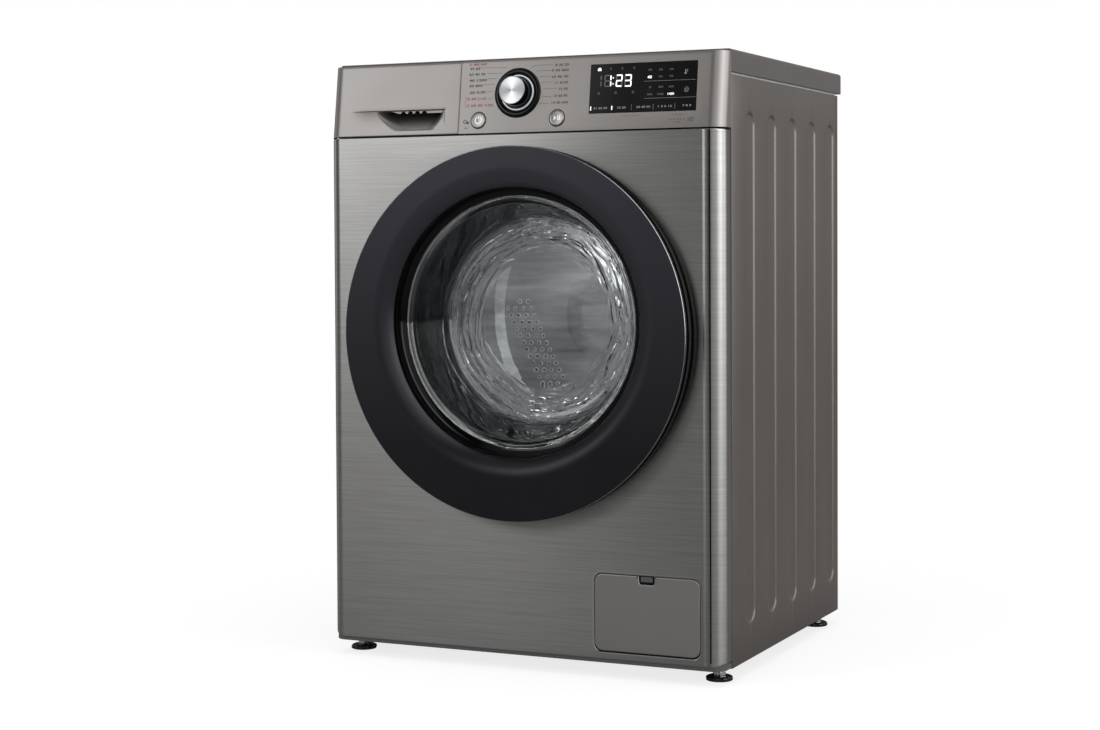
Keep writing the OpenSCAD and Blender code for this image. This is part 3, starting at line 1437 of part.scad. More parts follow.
module service_hatch() {
  plate_t = 1.6;
  ear_x = [hatch_x + 9, hatch_x + hatch_w - 13];
  latch_w = 26.8;
  latch_h = 14.3;
  color(steel) difference() {
    union() {
      upright(front_y, plate_t) translate([hatch_x, hatch_z]) rounded(hatch_w, hatch_h, hatch_r);
      for (x = ear_x) block([x, front_y + 1, hatch_pivot_z - 3], [x + 4, front_y
        + hatch_pivot_v + 2.6, hatch_pivot_z + 12]);
    }
    block([hatch_x + (hatch_w - latch_w) / 2, front_y - 5, hatch_top - latch_h],
      [hatch_x + (hatch_w + latch_w) / 2, front_y + 5, hatch_top + cut]);
  }
  color(gloss_black) block([hatch_x + (hatch_w - latch_w) / 2, front_y, hatch_top - latch_h - 2],
    [hatch_x + (hatch_w + latch_w) / 2, front_y + plate_t, hatch_top - 1]);
  color(steel) for (side = [0, 1]) {
    x = side == 0 ? recess_x0 + recess_t + 0.6 : ear_x[1] + 1;
    length = side == 0 ? ear_x[0] + 3 - x : recess_x1 - recess_t - 0.6 - x;
    translate([x, front_y + hatch_pivot_v, hatch_pivot_z]) rotate([0, 90, 0])
      cylinder(r = hatch_pin_r, h = length);
  }
}

module pump_filter() {
  cap_y = front_y + 24;
  color(grey_plastic) about_y(sump_x, pump_z) difference() {
    union() {
      translate([0, 0, cap_y]) cylinder(r = pump_r - 4.4, h = 26);
      translate([-18, -3.5, cap_y - 11]) cube([36, 7, 12]);
      translate([0, 0, cap_y + 20]) tube(20, 17, 84);
    }
    for (i = [0 : 5], k = [0 : 1]) rotate([0, 0, i * 60 + k * 30])
      translate([14, 0, cap_y + 56 + k * 24]) rotate([0, 90, 0]) cylinder(r = 4, h = 12);
  }
}

// ---------- Feet ----------

module foot() {
  pad_h = 7.5;
  lobes = 8;
  color(rubber) difference() {
    rotate_extrude() polygon([[0, 0], [foot_r - 1.5, 0], [foot_r, 1.5], [foot_r, pad_h - 2],
      [foot_r - 4, pad_h], [0, pad_h]]);
    for (i = [0 : lobes - 1]) rotate([0, 0, i * 360 / lobes + 22.5])
      translate([foot_r + 9, 0, -cut]) cylinder(r = 10, h = pad_h + 2 * cut);
  }
  color(stainless) translate([0, 0, pad_h - 1]) cylinder(r = 9.2, h = 7, $fn = 6);
  color(stainless) translate([0, 0, pad_h]) cylinder(r = stud_r, h = 40);
}

module foot_front_left() {
  translate([-foot_x, foot_front_y, 0]) foot();
}

module foot_front_right() {
  translate([foot_x, foot_front_y, 0]) foot();
}

module foot_rear_left() {
  translate([-foot_x, foot_rear_y, 0]) foot();
}

module foot_rear_right() {
  translate([foot_x, foot_rear_y, 0]) foot();
}

base_tray();
side_panel_left();
side_panel_right();
front_panel();
rear_panel();
rear_access_cover();
top_brace();
top_frame_front();
top_frame_rear();
top_board();
control_fascia();
display_window();
control_board();
dial_bezel();
dispenser_housing();
door_hinge_bracket();
door_lock();
door_gasket();
water_inlet_valve();
inlet_hose();
dispenser_hose();
sump_hose();
drain_pump();
service_recess();
drain_outlet();
cord_gland();
suspension_springs();
tub_front();
tub_rear();
counterweights();
stator();
bearings();
heater();
drum_shell();
drum_back();
drum_lifters();
drum_spider();
drum_shaft();
rotor();
door_ring();
door_frame();
door_trim();
door_glass();
door_hinge_leaf();
door_hook();
drawer_front();
drawer_tray();
dial_knob();
power_button();
start_button();
service_hatch();
pump_filter();
foot_front_left();
foot_front_right();
foot_rear_left();
foot_rear_right();
damper_tube_left();
damper_tube_right();
damper_rod_left();
damper_rod_right();
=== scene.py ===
"""Looks of a front load washing machine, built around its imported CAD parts."""
import json
from math import atan, cos, hypot, pi, radians, sin, sqrt

import bmesh
import bpy
from mathutils import Matrix, Vector, noise
from mathutils.geometry import tessellate_polygon


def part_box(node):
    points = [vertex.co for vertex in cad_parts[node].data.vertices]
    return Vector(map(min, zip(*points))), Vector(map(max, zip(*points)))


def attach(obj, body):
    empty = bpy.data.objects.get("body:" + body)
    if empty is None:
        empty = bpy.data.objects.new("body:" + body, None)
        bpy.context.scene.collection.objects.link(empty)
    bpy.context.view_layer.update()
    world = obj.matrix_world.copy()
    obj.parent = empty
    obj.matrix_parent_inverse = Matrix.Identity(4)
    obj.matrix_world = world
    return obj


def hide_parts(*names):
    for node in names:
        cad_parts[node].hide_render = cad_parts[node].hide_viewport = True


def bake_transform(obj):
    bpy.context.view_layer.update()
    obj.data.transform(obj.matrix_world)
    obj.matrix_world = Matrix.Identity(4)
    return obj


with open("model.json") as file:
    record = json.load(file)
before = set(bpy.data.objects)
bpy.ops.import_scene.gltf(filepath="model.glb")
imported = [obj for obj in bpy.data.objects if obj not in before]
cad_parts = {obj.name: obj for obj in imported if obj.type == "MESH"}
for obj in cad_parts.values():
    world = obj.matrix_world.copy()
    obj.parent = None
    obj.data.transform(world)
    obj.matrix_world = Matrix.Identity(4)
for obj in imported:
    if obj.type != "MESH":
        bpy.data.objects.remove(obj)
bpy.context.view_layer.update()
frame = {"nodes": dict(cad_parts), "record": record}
scene = bpy.context.scene
MM = 0.001


# ---------- Materials ----------


class Graph:
    """A node tree with short ways to add, set and join its nodes."""

    def __init__(self, owner):
        owner.use_nodes = True
        self.nodes, self.links = owner.node_tree.nodes, owner.node_tree.links

    def feed(self, socket, value):
        """Joins another node's output to a socket, or sets the socket to a constant."""
        if isinstance(value, bpy.types.NodeSocket):
            self.links.new(value, socket)
        else:
            socket.default_value = value

    def node(self, kind, *fed, out=0, **values):
        """Adds a node, feeds its first inputs in order and gives back the output named by out."""
        made = self.nodes.new("ShaderNode" + kind)
        for key, value in values.items():
            if key.replace("_", " ") in made.inputs:
                self.feed(made.inputs[key.replace("_", " ")], value)
            else:
                setattr(made, key, value)
        for socket, value in zip(made.inputs, fed):
            self.feed(socket, value)
        return made.outputs[out]

    def coordinate(self, axis, source="Object"):
        return self.node("SeparateXYZ", self.node("TexCoord", out=source), out=axis)

    def noise(self, scale, detail=4, roughness=0.6):
        place = self.node("Mapping", self.node("TexCoord", out="Object"), Scale=scale)
        return self.node("TexNoise", place, Scale=1.0, Detail=detail, Roughness=roughness)

    def ramp(self, factor, low, high, at=(0.3, 0.7)):
        """A value that goes from low to high while factor goes from at[0] to at[1]."""
        return self.node("MapRange", factor, *at, low, high)

    def mix(self, factor, first, second):
        """A colour between two others."""
        made = self.nodes.new("ShaderNodeMix")
        made.data_type = "RGBA"
        for socket, value in ((0, factor), (6, first), (7, second)):
            self.feed(made.inputs[socket], value)
        return made.outputs[2]


class Paint(Graph):
    """A node material on one Principled shader, with helpers for its textures."""

    def __init__(self, name, color, roughness=0.5, metallic=0.0, **sockets):
        self.material = bpy.data.materials.new(name)
        super().__init__(self.material)
        self.shader = self.nodes["Principled BSDF"]
        self.color = color
        self.set(Base_Color=(*color, 1), Roughness=roughness, Metallic=metallic, **sockets)

    def set(self, **sockets):
        for socket, value in sockets.items():
            self.feed(self.shader.inputs[socket.replace("_", " ")], value)
        return self

    def tint(self, factor, dark, light):
        """Base colour between dark and light times the paint's own colour."""
        return self.set(Base_Color=self.mix(factor, (*[c * dark for c in self.color], 1),
                                            (*[min(1, c * light) for c in self.color], 1)))

    def rough(self, factor, low, high):
        return self.set(Roughness=self.ramp(factor, low, high))

    def bump(self, factor, height, strength):
        return self.set(Normal=self.node("Bump", Strength=strength, Distance=height, Height=factor))

    def turned_grain(self):
        """Grain that runs round the upright axis, as on brushed and spun metal."""
        return self.set(Tangent=self.node("Tangent", direction_type="RADIAL", axis="Z"))


def brushed_steel(name, color, roughness=0.3):
    """Sheet steel with a fine level grain: reflections smear up and down, and stay sharp across."""
    paint = Paint(name, color, roughness, 1.0, Anisotropic=0.9, Anisotropic_Rotation=0.25)
    fine = paint.noise((9, 9, 620), 3, 0.7)
    long = paint.noise((0.7, 0.7, 420), 3)
    paint.tint(fine, 0.70, 1.30).rough(long, roughness - 0.01, roughness + 0.03)
    return paint.bump(fine, 0.01 * MM, 0.3).turned_grain().material


def moulded(name, color, roughness=0.45, grain=0.03, rise=None, **sockets):
    """Moulded plastic with a very fine grain; rise is (low, high) metres between which it grows paler, a
    painted shade that makes it darker towards the bottom as if lit from above.
    """
    paint = Paint(name, color, roughness, **sockets)
    soft = paint.noise((9, 9, 9), 3)
    if rise:
        # painted shade: 8% of the colour at the lower height, all of it at the upper, as if lit from above
        paint.tint(paint.ramp(paint.coordinate("Z"), 0.0, 1.0, rise), 0.08, 1.0)
    else:
        paint.tint(soft, 0.95, 1.05)
    paint.rough(soft, roughness - 0.03, roughness + 0.03)
    return paint.bump(paint.noise((2400, 2400, 2400), 2), grain * MM, 0.5).material


# Colour of the painted shade deep in the drawer's scoop
DEEP_SHADE = (0.035, 0.030, 0.027, 1)


def metallic_paint(name, color, roughness=0.36, metallic=0.45, shade=None):
    """Silver paint with flakes; shade is (place, normal, depth) in metres of a painted shade: the colour
    grows dark with depth behind a plane, standing in for the shade in a recess.
    """
    paint = Paint(name, color, roughness, metallic)
    flakes = paint.noise((5200, 5200, 5200), 2)
    soft = paint.noise((6, 6, 6), 2)
    paint.tint(flakes, 0.93, 1.07).rough(soft, roughness - 0.02, roughness + 0.02)
    paint.bump(flakes, 0.01 * MM, 0.3)
    if shade:
        place, normal, deep = shade
        across = paint.node("VectorMath", paint.node("TexCoord", out="Object"), normal,
                            out="Value", operation="DOT_PRODUCT")
        # painted shade: the colour falls towards DEEP_SHADE with depth behind the plane
        fall = paint.ramp(across, 0.0, 1.0, (place, place + deep))
        before = paint.shader.inputs["Base Color"].links[0].from_socket
        paint.set(Base_Color=paint.mix(paint.node("Math", fall, 1.3, operation="POWER"), before, DEEP_SHADE))
    return paint.material


def gloss(name, color, roughness):
    paint = Paint(name, color, roughness, Specular_IOR_Level=0.16)
    soft = paint.noise((14, 14, 14), 3)
    return paint.rough(soft, roughness * 0.8, roughness * 1.3).bump(soft, 0.03 * MM, 0.4).material


def ground_metal(name, color, roughness=0.28, scale=(300, 300, 300), vary=0.1, metallic=1.0):
    paint = Paint(name, color, roughness, metallic)
    grain = paint.noise(scale)
    paint.tint(paint.ramp(grain, 0.0, 1.0), 1 - vary, 1 + vary)
    paint.rough(grain, roughness - 0.06, roughness + 0.08)
    return paint.bump(grain, 0.02 * MM, 0.4).material


def stone(name, color):
    paint = Paint(name, color, 0.85)
    grit = paint.noise((700, 700, 700), 8, 0.7)
    return paint.tint(grit, 0.7, 1.25).bump(grit, 0.4 * MM, 0.7).material


# Where the bowl's dark-coloured wall starts and ends, in row-frame metres
GLASS_LIP = (-0.250, -0.240)
GLASS_END = (-0.182, -0.172)
WALL_DARK_COLOUR = (0.055, 0.06, 0.068, 1)


def clear_glass(name, color):
    """Glass with a wall coloured dark between its lip and end, that lets the studio light through to what is
    behind it.
    """
    paint = Paint(name, color, 0.0, Transmission_Weight=1.0, IOR=1.5, Specular_IOR_Level=0.14)
    paint.bump(paint.noise((26, 26, 16), 2), 0.5 * MM, 0.5)
    wall = paint.ramp(paint.coordinate("Y"), 1.0, 0.0, GLASS_END)
    lip = paint.ramp(paint.coordinate("Y"), 0.0, 1.0, GLASS_LIP)
    dark_wall = paint.node("Math", wall, lip, operation="MULTIPLY")
    paint.set(Base_Color=paint.mix(dark_wall, (*color, 1), WALL_DARK_COLOUR))
    through = paint.node("BsdfTransparent", Color=(0.85, 0.87, 0.87, 1))
    seen = paint.node("MixShader", paint.node("LightPath", out="Is Shadow Ray"), paint.shader.outputs["BSDF"],
                      through)
    paint.feed(paint.nodes["Material Output"].inputs["Surface"], seen)
    return paint.material


def spun_metal(name, color):
    """A turned cap: fine rings round the dial's axis, and two bright fans like those they give painted into
    its colour as painted highlights.
    """
    paint = Paint(name, color, 0.3, 1.0, Anisotropic=0.8, Anisotropic_Rotation=0.25)
    turn = paint.node("TexGradient", paint.node("TexCoord", out="Object"), out="Fac", gradient_type="RADIAL")
    angle = paint.node("Math", turn, 4 * pi, 2.9, operation="MULTIPLY_ADD")
    painted_fans = paint.node("Math", angle, operation="COSINE")
    # Painted highlight: the colour swings twice round the cap, as two bright fans and two dark ones
    paint.tint(paint.ramp(painted_fans, 0.0, 1.0, (-0.9, 1.0)), 0.55, 1.5)
    return paint.rough(paint.noise((900, 900, 900), 2), 0.29, 0.33).turned_grain().material


def printed(name, color, roughness=0.5, glow=0.0):
    """Ink on the fascia, or a mark that glows when glow is above zero; on the dial's ring that glow is
    painted light.
    """
    paint = Paint(name, color, roughness, Emission_Color=(*color, 1), Emission_Strength=glow)
    return paint.tint(paint.noise((1800, 1800, 1800), 2), 0.92, 1.08).material


FASCIA_COLOR = (0.235, 0.222, 0.213)
FINISHES = {slot: finish(slot, *values) for slot, (finish, *values) in {
    "painted_body": (metallic_paint, (0.155, 0.137, 0.127), 0.38, 0.75),
    "brushed_front": (brushed_steel, (0.29, 0.287, 0.28)),
    "rear_steel": (metallic_paint, (0.15, 0.145, 0.14), 0.42, 0.5),
    "galvanised": (ground_metal, (0.5, 0.52, 0.53), 0.4, (60, 60, 60)),
    "top_trim": (moulded, (0.10, 0.091, 0.085)),
    "top_surface": (moulded, (0.12, 0.115, 0.11), 0.5, 0.05),
    "fascia_silver": (metallic_paint, FASCIA_COLOR, 0.36, 0.7),
    "window_black": (gloss, (0.004, 0.004, 0.0045), 0.14),
    "black_plastic": (gloss, (0.004, 0.004, 0.0045), 0.12),
    "trim_black": (gloss, (0.003, 0.003, 0.0035), 0.06),
    "bowl_glass": (clear_glass, (0.955, 0.98, 0.978)),
    "dial_metal": (spun_metal, (0.40, 0.41, 0.425)),
    "button_silver": (metallic_paint, (0.29, 0.275, 0.265), 0.33, 0.8),
    "base_plastic": (moulded, (0.10, 0.10, 0.10)),
    "inner_plastic": (moulded, (0.72, 0.73, 0.73)),
    "tub_plastic": (moulded, (0.35, 0.36, 0.37), 0.5, 0.08),
    "gasket_rubber": (moulded, (0.035, 0.036, 0.038), 0.5, 0.05),
    "concrete": (stone, (0.32, 0.31, 0.29)),
    "copper_windings": (ground_metal, (0.6, 0.28, 0.12), 0.35, (40, 900, 40)),
    "bearing_steel": (ground_metal, (0.62, 0.62, 0.63), 0.2),
    "drum_steel": (ground_metal, (0.40, 0.405, 0.41), 0.30, (26, 70, 26), 1.0),
    "lifter_plastic": (moulded, (0.30, 0.31, 0.32), 0.3),
    "cast_aluminium": (ground_metal, (0.55, 0.56, 0.57), 0.45, (500, 500, 500)),
    "rotor_steel": (ground_metal, (0.4, 0.41, 0.42), 0.35),
    "filter_plastic": (moulded, (0.15, 0.155, 0.16)),
    "foot_rubber": (moulded, (0.02, 0.018, 0.017), 0.22, 0.25),
}.items()}
# Painted shade on the door ring: its colour is darker towards the bottom, between 0.30 m and 0.78 m high
FINISHES["ring_satin"] = moulded("ring_satin", (0.040, 0.038, 0.047), 0.37, 0.02, (0.30, 0.78),
                                 Specular_IOR_Level=0.32, Specular_Tint=(0.90, 0.90, 1.0, 1))
INK = printed("ink", (0.018, 0.016, 0.015))
RED_INK = printed("red_ink", (0.36, 0.02, 0.04))
PALE_INK = printed("pale_ink", (0.07, 0.065, 0.06))
LIT = printed("lit_mark", (0.92, 0.95, 0.97), 0.4, 0.85)
DIM = printed("dim_mark", (0.10, 0.10, 0.105), 0.4)
WHITE_PRINT = printed("pale_print", (0.30, 0.30, 0.31), 0.4, 0.05)
# Glow on the dial's chrome ring: a painted highlight, the ring is no lamp
DIAL_RING_PAINTED_GLOW = printed("ring_glow", (0.62, 0.64, 0.66), 0.3, 0.4)
SIGN = printed("button_sign", (0.90, 0.90, 0.89), 0.4, 0.2)
DRUM_BACK = ground_metal("drum_back_steel", (0.52, 0.525, 0.54), 0.36, (5, 30, 36), 0.5, 0.55)
# Paler steel for the pressed rims round the drum's holes: painted highlights
DRUM_RIM_PAINTED_HIGHLIGHT = metallic_paint("drum_rim_steel", (0.85, 0.86, 0.88), 0.3, 0.35)
# A grey metal line round the door ring's rim: a painted highlight on the rim's rounding
RIM_HIGHLIGHT_PAINT = ground_metal("edge_line", (0.36, 0.36, 0.37), 0.22)
HATCH_PAINT = metallic_paint("hatch_silver", (0.30, 0.292, 0.28), 0.40, 0.8)

SLOTS = {}
for entry in frame["record"]["subparts"]:
    SLOTS[entry["node"]] = entry["material_slot"]
    frame["nodes"][entry["node"]].data.materials.clear()
    frame["nodes"][entry["node"]].data.materials.append(FINISHES[entry["material_slot"]])
frame["nodes"]["drum_back"].data.materials[0] = DRUM_BACK
BODY_OF = {}
for body, members in frame["record"]["behaviour"]["bodies"].items():
    for member in members:
        BODY_OF[member] = body


# ---------- Mesh helpers ----------


def settle(obj, node, slot=None, replaces=False, bends=None):
    """Puts a finished piece on its node's body, with its slot's finish when it has no paint of its own.

    A piece called after its node with _skin behind it takes the node's place, and so does one with
    replaces. When bends, a (start, end) pair, is given, the piece stays where it stands and is put on no
    body; its two points are not used.
    """
    scene.collection.objects.link(obj)
    slot = slot or SLOTS[node]
    if not obj.data.materials:
        obj.data.materials.append(FINISHES[slot])
    if bends:
        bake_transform(obj)
    else:
        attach(obj, BODY_OF[node])
    if replaces or obj.name == node + "_skin":
        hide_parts(node)


def bare_mesh(name, points, faces):
    """A mesh from points in millimetres in the row frame."""
    mesh = bpy.data.meshes.new(name)
    mesh.from_pydata([tuple(c * MM for c in p) for p in points], [], faces)
    return mesh


def rework(mesh, gap, step):
    """Joins the points that lie within gap of each other, then takes one more step."""
    work = bmesh.new()
    work.from_mesh(mesh)
    bmesh.ops.remove_doubles(work, verts=work.verts, dist=gap * MM)
    step(work)
    work.to_mesh(mesh)
    work.free()


def smooth(mesh, crease):
    mesh.shade_smooth()
    mesh.set_sharp_from_angle(angle=radians(crease))


def make(name, points, faces, node, crease=35, paint=None, **more):
    """A finished piece from points in millimetres; edges sharper than crease degrees stay sharp."""
    mesh = bare_mesh(name, points, faces)
    rework(mesh, 0.001, lambda work: bmesh.ops.recalc_face_normals(work, faces=work.faces))
    smooth(mesh, crease)
    if paint:
        mesh.materials.append(paint)
    settle(bpy.data.objects.new(name, mesh), node, **more)


def grid(rows, close_across=False, close_along=False):
    """(points, faces) of a sheet whose rows all have as many points."""
    across = len(rows[0])
    points = [p for row in rows for p in row]
    faces = []
    for i in range(len(rows) if close_along else len(rows) - 1):
        j = (i + 1) % len(rows)
        for k in range(across if close_across else across - 1):
            m = (k + 1) % across
            faces.append((i * across + k, i * across + m, j * across + m, j * across + k))
    return points, faces


def skin(name, rows, node, close_across=False, close_along=False, **more):
    """A piece whose surface runs through rows of points."""
    make(name, *grid(rows, close_across, close_along), node, **more)


def add_faces(points, faces, more, sides):
    """Puts a second part's points and faces behind those of the first."""
    start = len(points)
    points += more
    faces += [tuple(start + k for k in side) for side in sides]


def circle(count):
    """The angles of count even steps round a circle."""
    return [2 * pi * k / count for k in range(count)]


def spin(profile, place, turns, wobble=None):
    """Rows of (radius, along) points revolved; place gives the point at (cosine, sine, along)."""
    rows = []
    for radius, along in profile:
        row = []
        for angle in circle(turns):
            r, a = wobble(radius, along, angle) if wobble else (radius, along)
            row.append(place(r * cos(angle), r * sin(angle), a))
        rows.append(row)
    return rows


def revolve(name, profile, node, place, turns, wobble=None, **more):
    skin(name, spin(profile, place, turns, wobble), node, True, True, **more)


def rounded_profile(corners, radius, steps=4):
    """A closed (a, b) outline with each of its corners rounded by up to radius."""
    made = []
    for i, corner in enumerate(corners):
        here = Vector(corner)
        one, two = Vector(corners[i - 1]) - here, Vector(corners[(i + 1) % len(corners)]) - here
        r = min(radius, one.length * 0.45, two.length * 0.45)
        start, end = here + one.normalized() * r, here + two.normalized() * r
        for step in range(steps + 1):
            t = step / steps
            point = start * (1 - t) ** 2 + here * 2 * t * (1 - t) + end * t ** 2
            made.append((point.x, point.y))
    return made


def soften(node, width):
    """The CAD node with its sharp edges rounded over, so that they catch the light."""
    mesh = frame["nodes"][node].data.copy()
    mesh.name = node + "_skin"
    if "custom_normal" in mesh.attributes:
        mesh.attributes.remove(mesh.attributes["custom_normal"])
    rework(mesh, 0.004, lambda work: bmesh.ops.dissolve_limit(
        work, angle_limit=radians(0.4), verts=work.verts, edges=work.edges, delimit=set()))
    mesh.shade_smooth()
    mesh.materials.clear()
    obj = bpy.data.objects.new(mesh.name, mesh)
    bevel = obj.modifiers.new("edges", "BEVEL")
    bevel.width = width * MM
    bevel.segments = 2
    bevel.limit_method = "ANGLE"
    bevel.angle_limit = radians(28)
    bevel.harden_normals = True
    bevel.use_clamp_overlap = True
    settle(obj, node)


# ---------- Places, in millimetres in the row frame ----------


def span(node):
    """(lowest corner, highest corner) of a CAD node in millimetres."""
    return tuple([c / MM for c in corner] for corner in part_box(node))


def middle(node, axis):
    low, high = span(node)
    return (low[axis] + high[axis]) / 2


FRONT_Y = span("front_panel")[0][1]
HALF_W = span("side_panel_right")[1][0]
FASCIA_Z = span("control_fascia")[0][2]
FASCIA_TOP = span("control_fascia")[1][2]
SETBACK = 14            # how far the fascia's upper edge stands behind its lower edge
LEAN = atan(SETBACK / (FASCIA_TOP - FASCIA_Z))
PORT_Z = middle("door_trim", 2)
RING_Z = middle("door_ring", 2)
DIAL_X = middle("dial_bezel", 0)
BUTTON_X = 60           # how far each button stands from the dial's axis
RING_R = span("door_ring")[1][0]
FUNNEL_R = span("door_trim")[1][0]
PORT_R = 197
DOOR_OUT = FRONT_Y - span("door_ring")[0][1]


def ease(t):
    t = max(0.0, min(1.0, t))
    return t * t * (3 - 2 * t)


def on_face(x, up, out=0.0):
    """A point at x, a distance up the leaning fascia and a height out of it."""
    return (x, FRONT_Y + up * sin(LEAN) - out * cos(LEAN),
            FASCIA_Z + up * cos(LEAN) + out * sin(LEAN))


def face_up(z):
    return (z - FASCIA_Z) / cos(LEAN)


DIAL_UP = face_up(FASCIA_Z + 54.7)
BUTTON_Z = FASCIA_Z + 18.1
BUTTON_UP = face_up(BUTTON_Z)


# ---------- Cabinet ----------

for soft_width, soft_nodes in (
        (0.5, "control_fascia rear_panel rear_access_cover top_brace"),
        (0.6, "top_frame_front top_frame_rear"),
        (0.5, "top_board"), (0.4, "display_window"), (0.5, "base_tray"),
        (0.6, "dispenser_housing drawer_tray door_frame door_lock"),
        (0.4, "door_hinge_bracket door_hinge_leaf door_hook"), (0.8, "drain_pump"), (0.5, "drain_outlet"),
        (0.4, "cord_gland"), (0.6, "service_recess"), (2.0, "counterweights"), (1.5, "drum_spider"),
        (0.8, "tub_front tub_rear"), (0.7, "pump_filter"),
        (0.5, "damper_tube_left damper_tube_right damper_rod_left damper_rod_right"),
        (0.4, "control_board inlet_hose")):
    for soft_node in soft_nodes.split():
        soften(soft_node, soft_width)

RIB_PITCH = 92
RIB_FIRST = FRONT_Y + 111.5
RIB_R = 19.5
RIB_DEPTH = 1.8
RIB_SLOPE = 4.6
RIB_LOW, RIB_HIGH = 68, 770
FLANGE_LOW, FLANGE_HIGH = 10, 15        # flanges folded in at a side sheet's four edges
FLANGE_FRONT, FLANGE_REAR = 15, 28


def rib_depth(y, z):
    """Depth of the side's pressed ribs: soft sided, with round ends."""
    centre = RIB_FIRST + RIB_PITCH * max(0, min(4, round((y - RIB_FIRST) / RIB_PITCH)))
    past = max(RIB_LOW + RIB_R - z, z - RIB_HIGH + RIB_R, 0)
    away = hypot(y - centre, past)
    return RIB_DEPTH * (1 - ease((away - RIB_R + RIB_SLOPE) / RIB_SLOPE))


def edge_levels(low, high, flange_low, flange_high, inside):
    """(position, how far turned in) from one folded edge of a panel to the other."""
    made = [(low, flange_low), (low, 1.5), (low + 0.4, 0.4), (low + 1.5, 0)]
    made += [(value, 0) for value in inside if low + 3 < value < high - 3]
    return made + [(high - 1.5, 0), (high - 0.4, 0.4), (high, 1.5), (high, flange_high)]


def side_panel(node, side):
    """A side sheet with its ribs; points are dense where a rib's slope or round end is."""
    low, high = span(node)
    slope = [RIB_R - RIB_SLOPE + RIB_SLOPE * k / 9 for k in range(10)]
    over_rib = [-d for d in reversed(slope)] + [1.9 * k for k in range(-6, 7)] + slope
    across = [RIB_FIRST + RIB_PITCH * i + d for i in range(5) for d in over_rib]
    rib_end = [1.1 * k for k in range(20)]
    up = [RIB_LOW + d for d in rib_end] + [120 + 50 * k for k in range(13)]
    up += [RIB_HIGH - d for d in reversed(rib_end)]
    rows = []
    levels = edge_levels(low[1], high[1], FLANGE_FRONT, FLANGE_REAR, across)
    for z, turned_z in edge_levels(low[2], high[2], FLANGE_LOW, FLANGE_HIGH, up):
        rows.append([(side * (HALF_W - max(turned_z, turned_y) - rib_depth(y, z)), y, z)
                     for y, turned_y in levels])
    skin(node + "_skin", rows, node, crease=40)


def rounded_box(x0, x1, z0, z1, r, steps=8):
    """Outline of a rectangle with round corners, counter-clockwise from its lower right."""
    made = []
    left, right, low, high = x0 + r, x1 - r, z0 + r, z1 - r
    for quarter, (cx, cz) in enumerate(((right, low), (right, high), (left, high), (left, low))):
        for k in range(steps + 1):
            a = radians(90 * (quarter - 1 + k / steps))
            made.append((cx + r * cos(a), cz + r * sin(a)))
    return made


def inset_rows(outline, levels):
    """Copies of an outline, each moved (inwards, behind the steel face) by one of the levels."""
    rows = []
    for inset, depth in levels:
        row = []
        for k, (x, z) in enumerate(outline):
            before, after = outline[k - 1], outline[(k + 1) % len(outline)]
            along = Vector((after[0] - before[0], after[1] - before[1])).normalized()
            row.append((x - along.y * inset, FRONT_Y + depth, z + along.x * inset))
        rows.append(row)
    return rows


def filled(loops):
    """Corner numbers of the triangles that fill the first loop and leave out the others."""
    return tessellate_polygon([[Vector(p) for p in loop] for loop in loops])


def plate(name, outline, levels, **more):
    """A plate of the service hatch, closed by a flat face at its last level."""
    rows = inset_rows(outline, levels)
    points, faces = grid(rows, close_across=True)
    start = len(points) - len(outline)
    faces += [tuple(start + k for k in face) for face in filled(rows[-1:])]
    make(name, points, faces, "service_hatch", **more)


HATCH_R = 11
HATCH_LOW, HATCH_HIGH = 37.0, 142.0
HATCH_RIGHT = HALF_W - 33
HATCH_LEFT = HATCH_RIGHT - 153
LATCH_HALF = 11.2
LATCH_H = 11.3
EAR_IN = 11          # how far the middle of each ear stands from its end of the plate
EAR_LOW, EAR_HIGH = 43, 58
PIN_R = 1.6
PIN_Z = 46
PIN_SIDES = 24


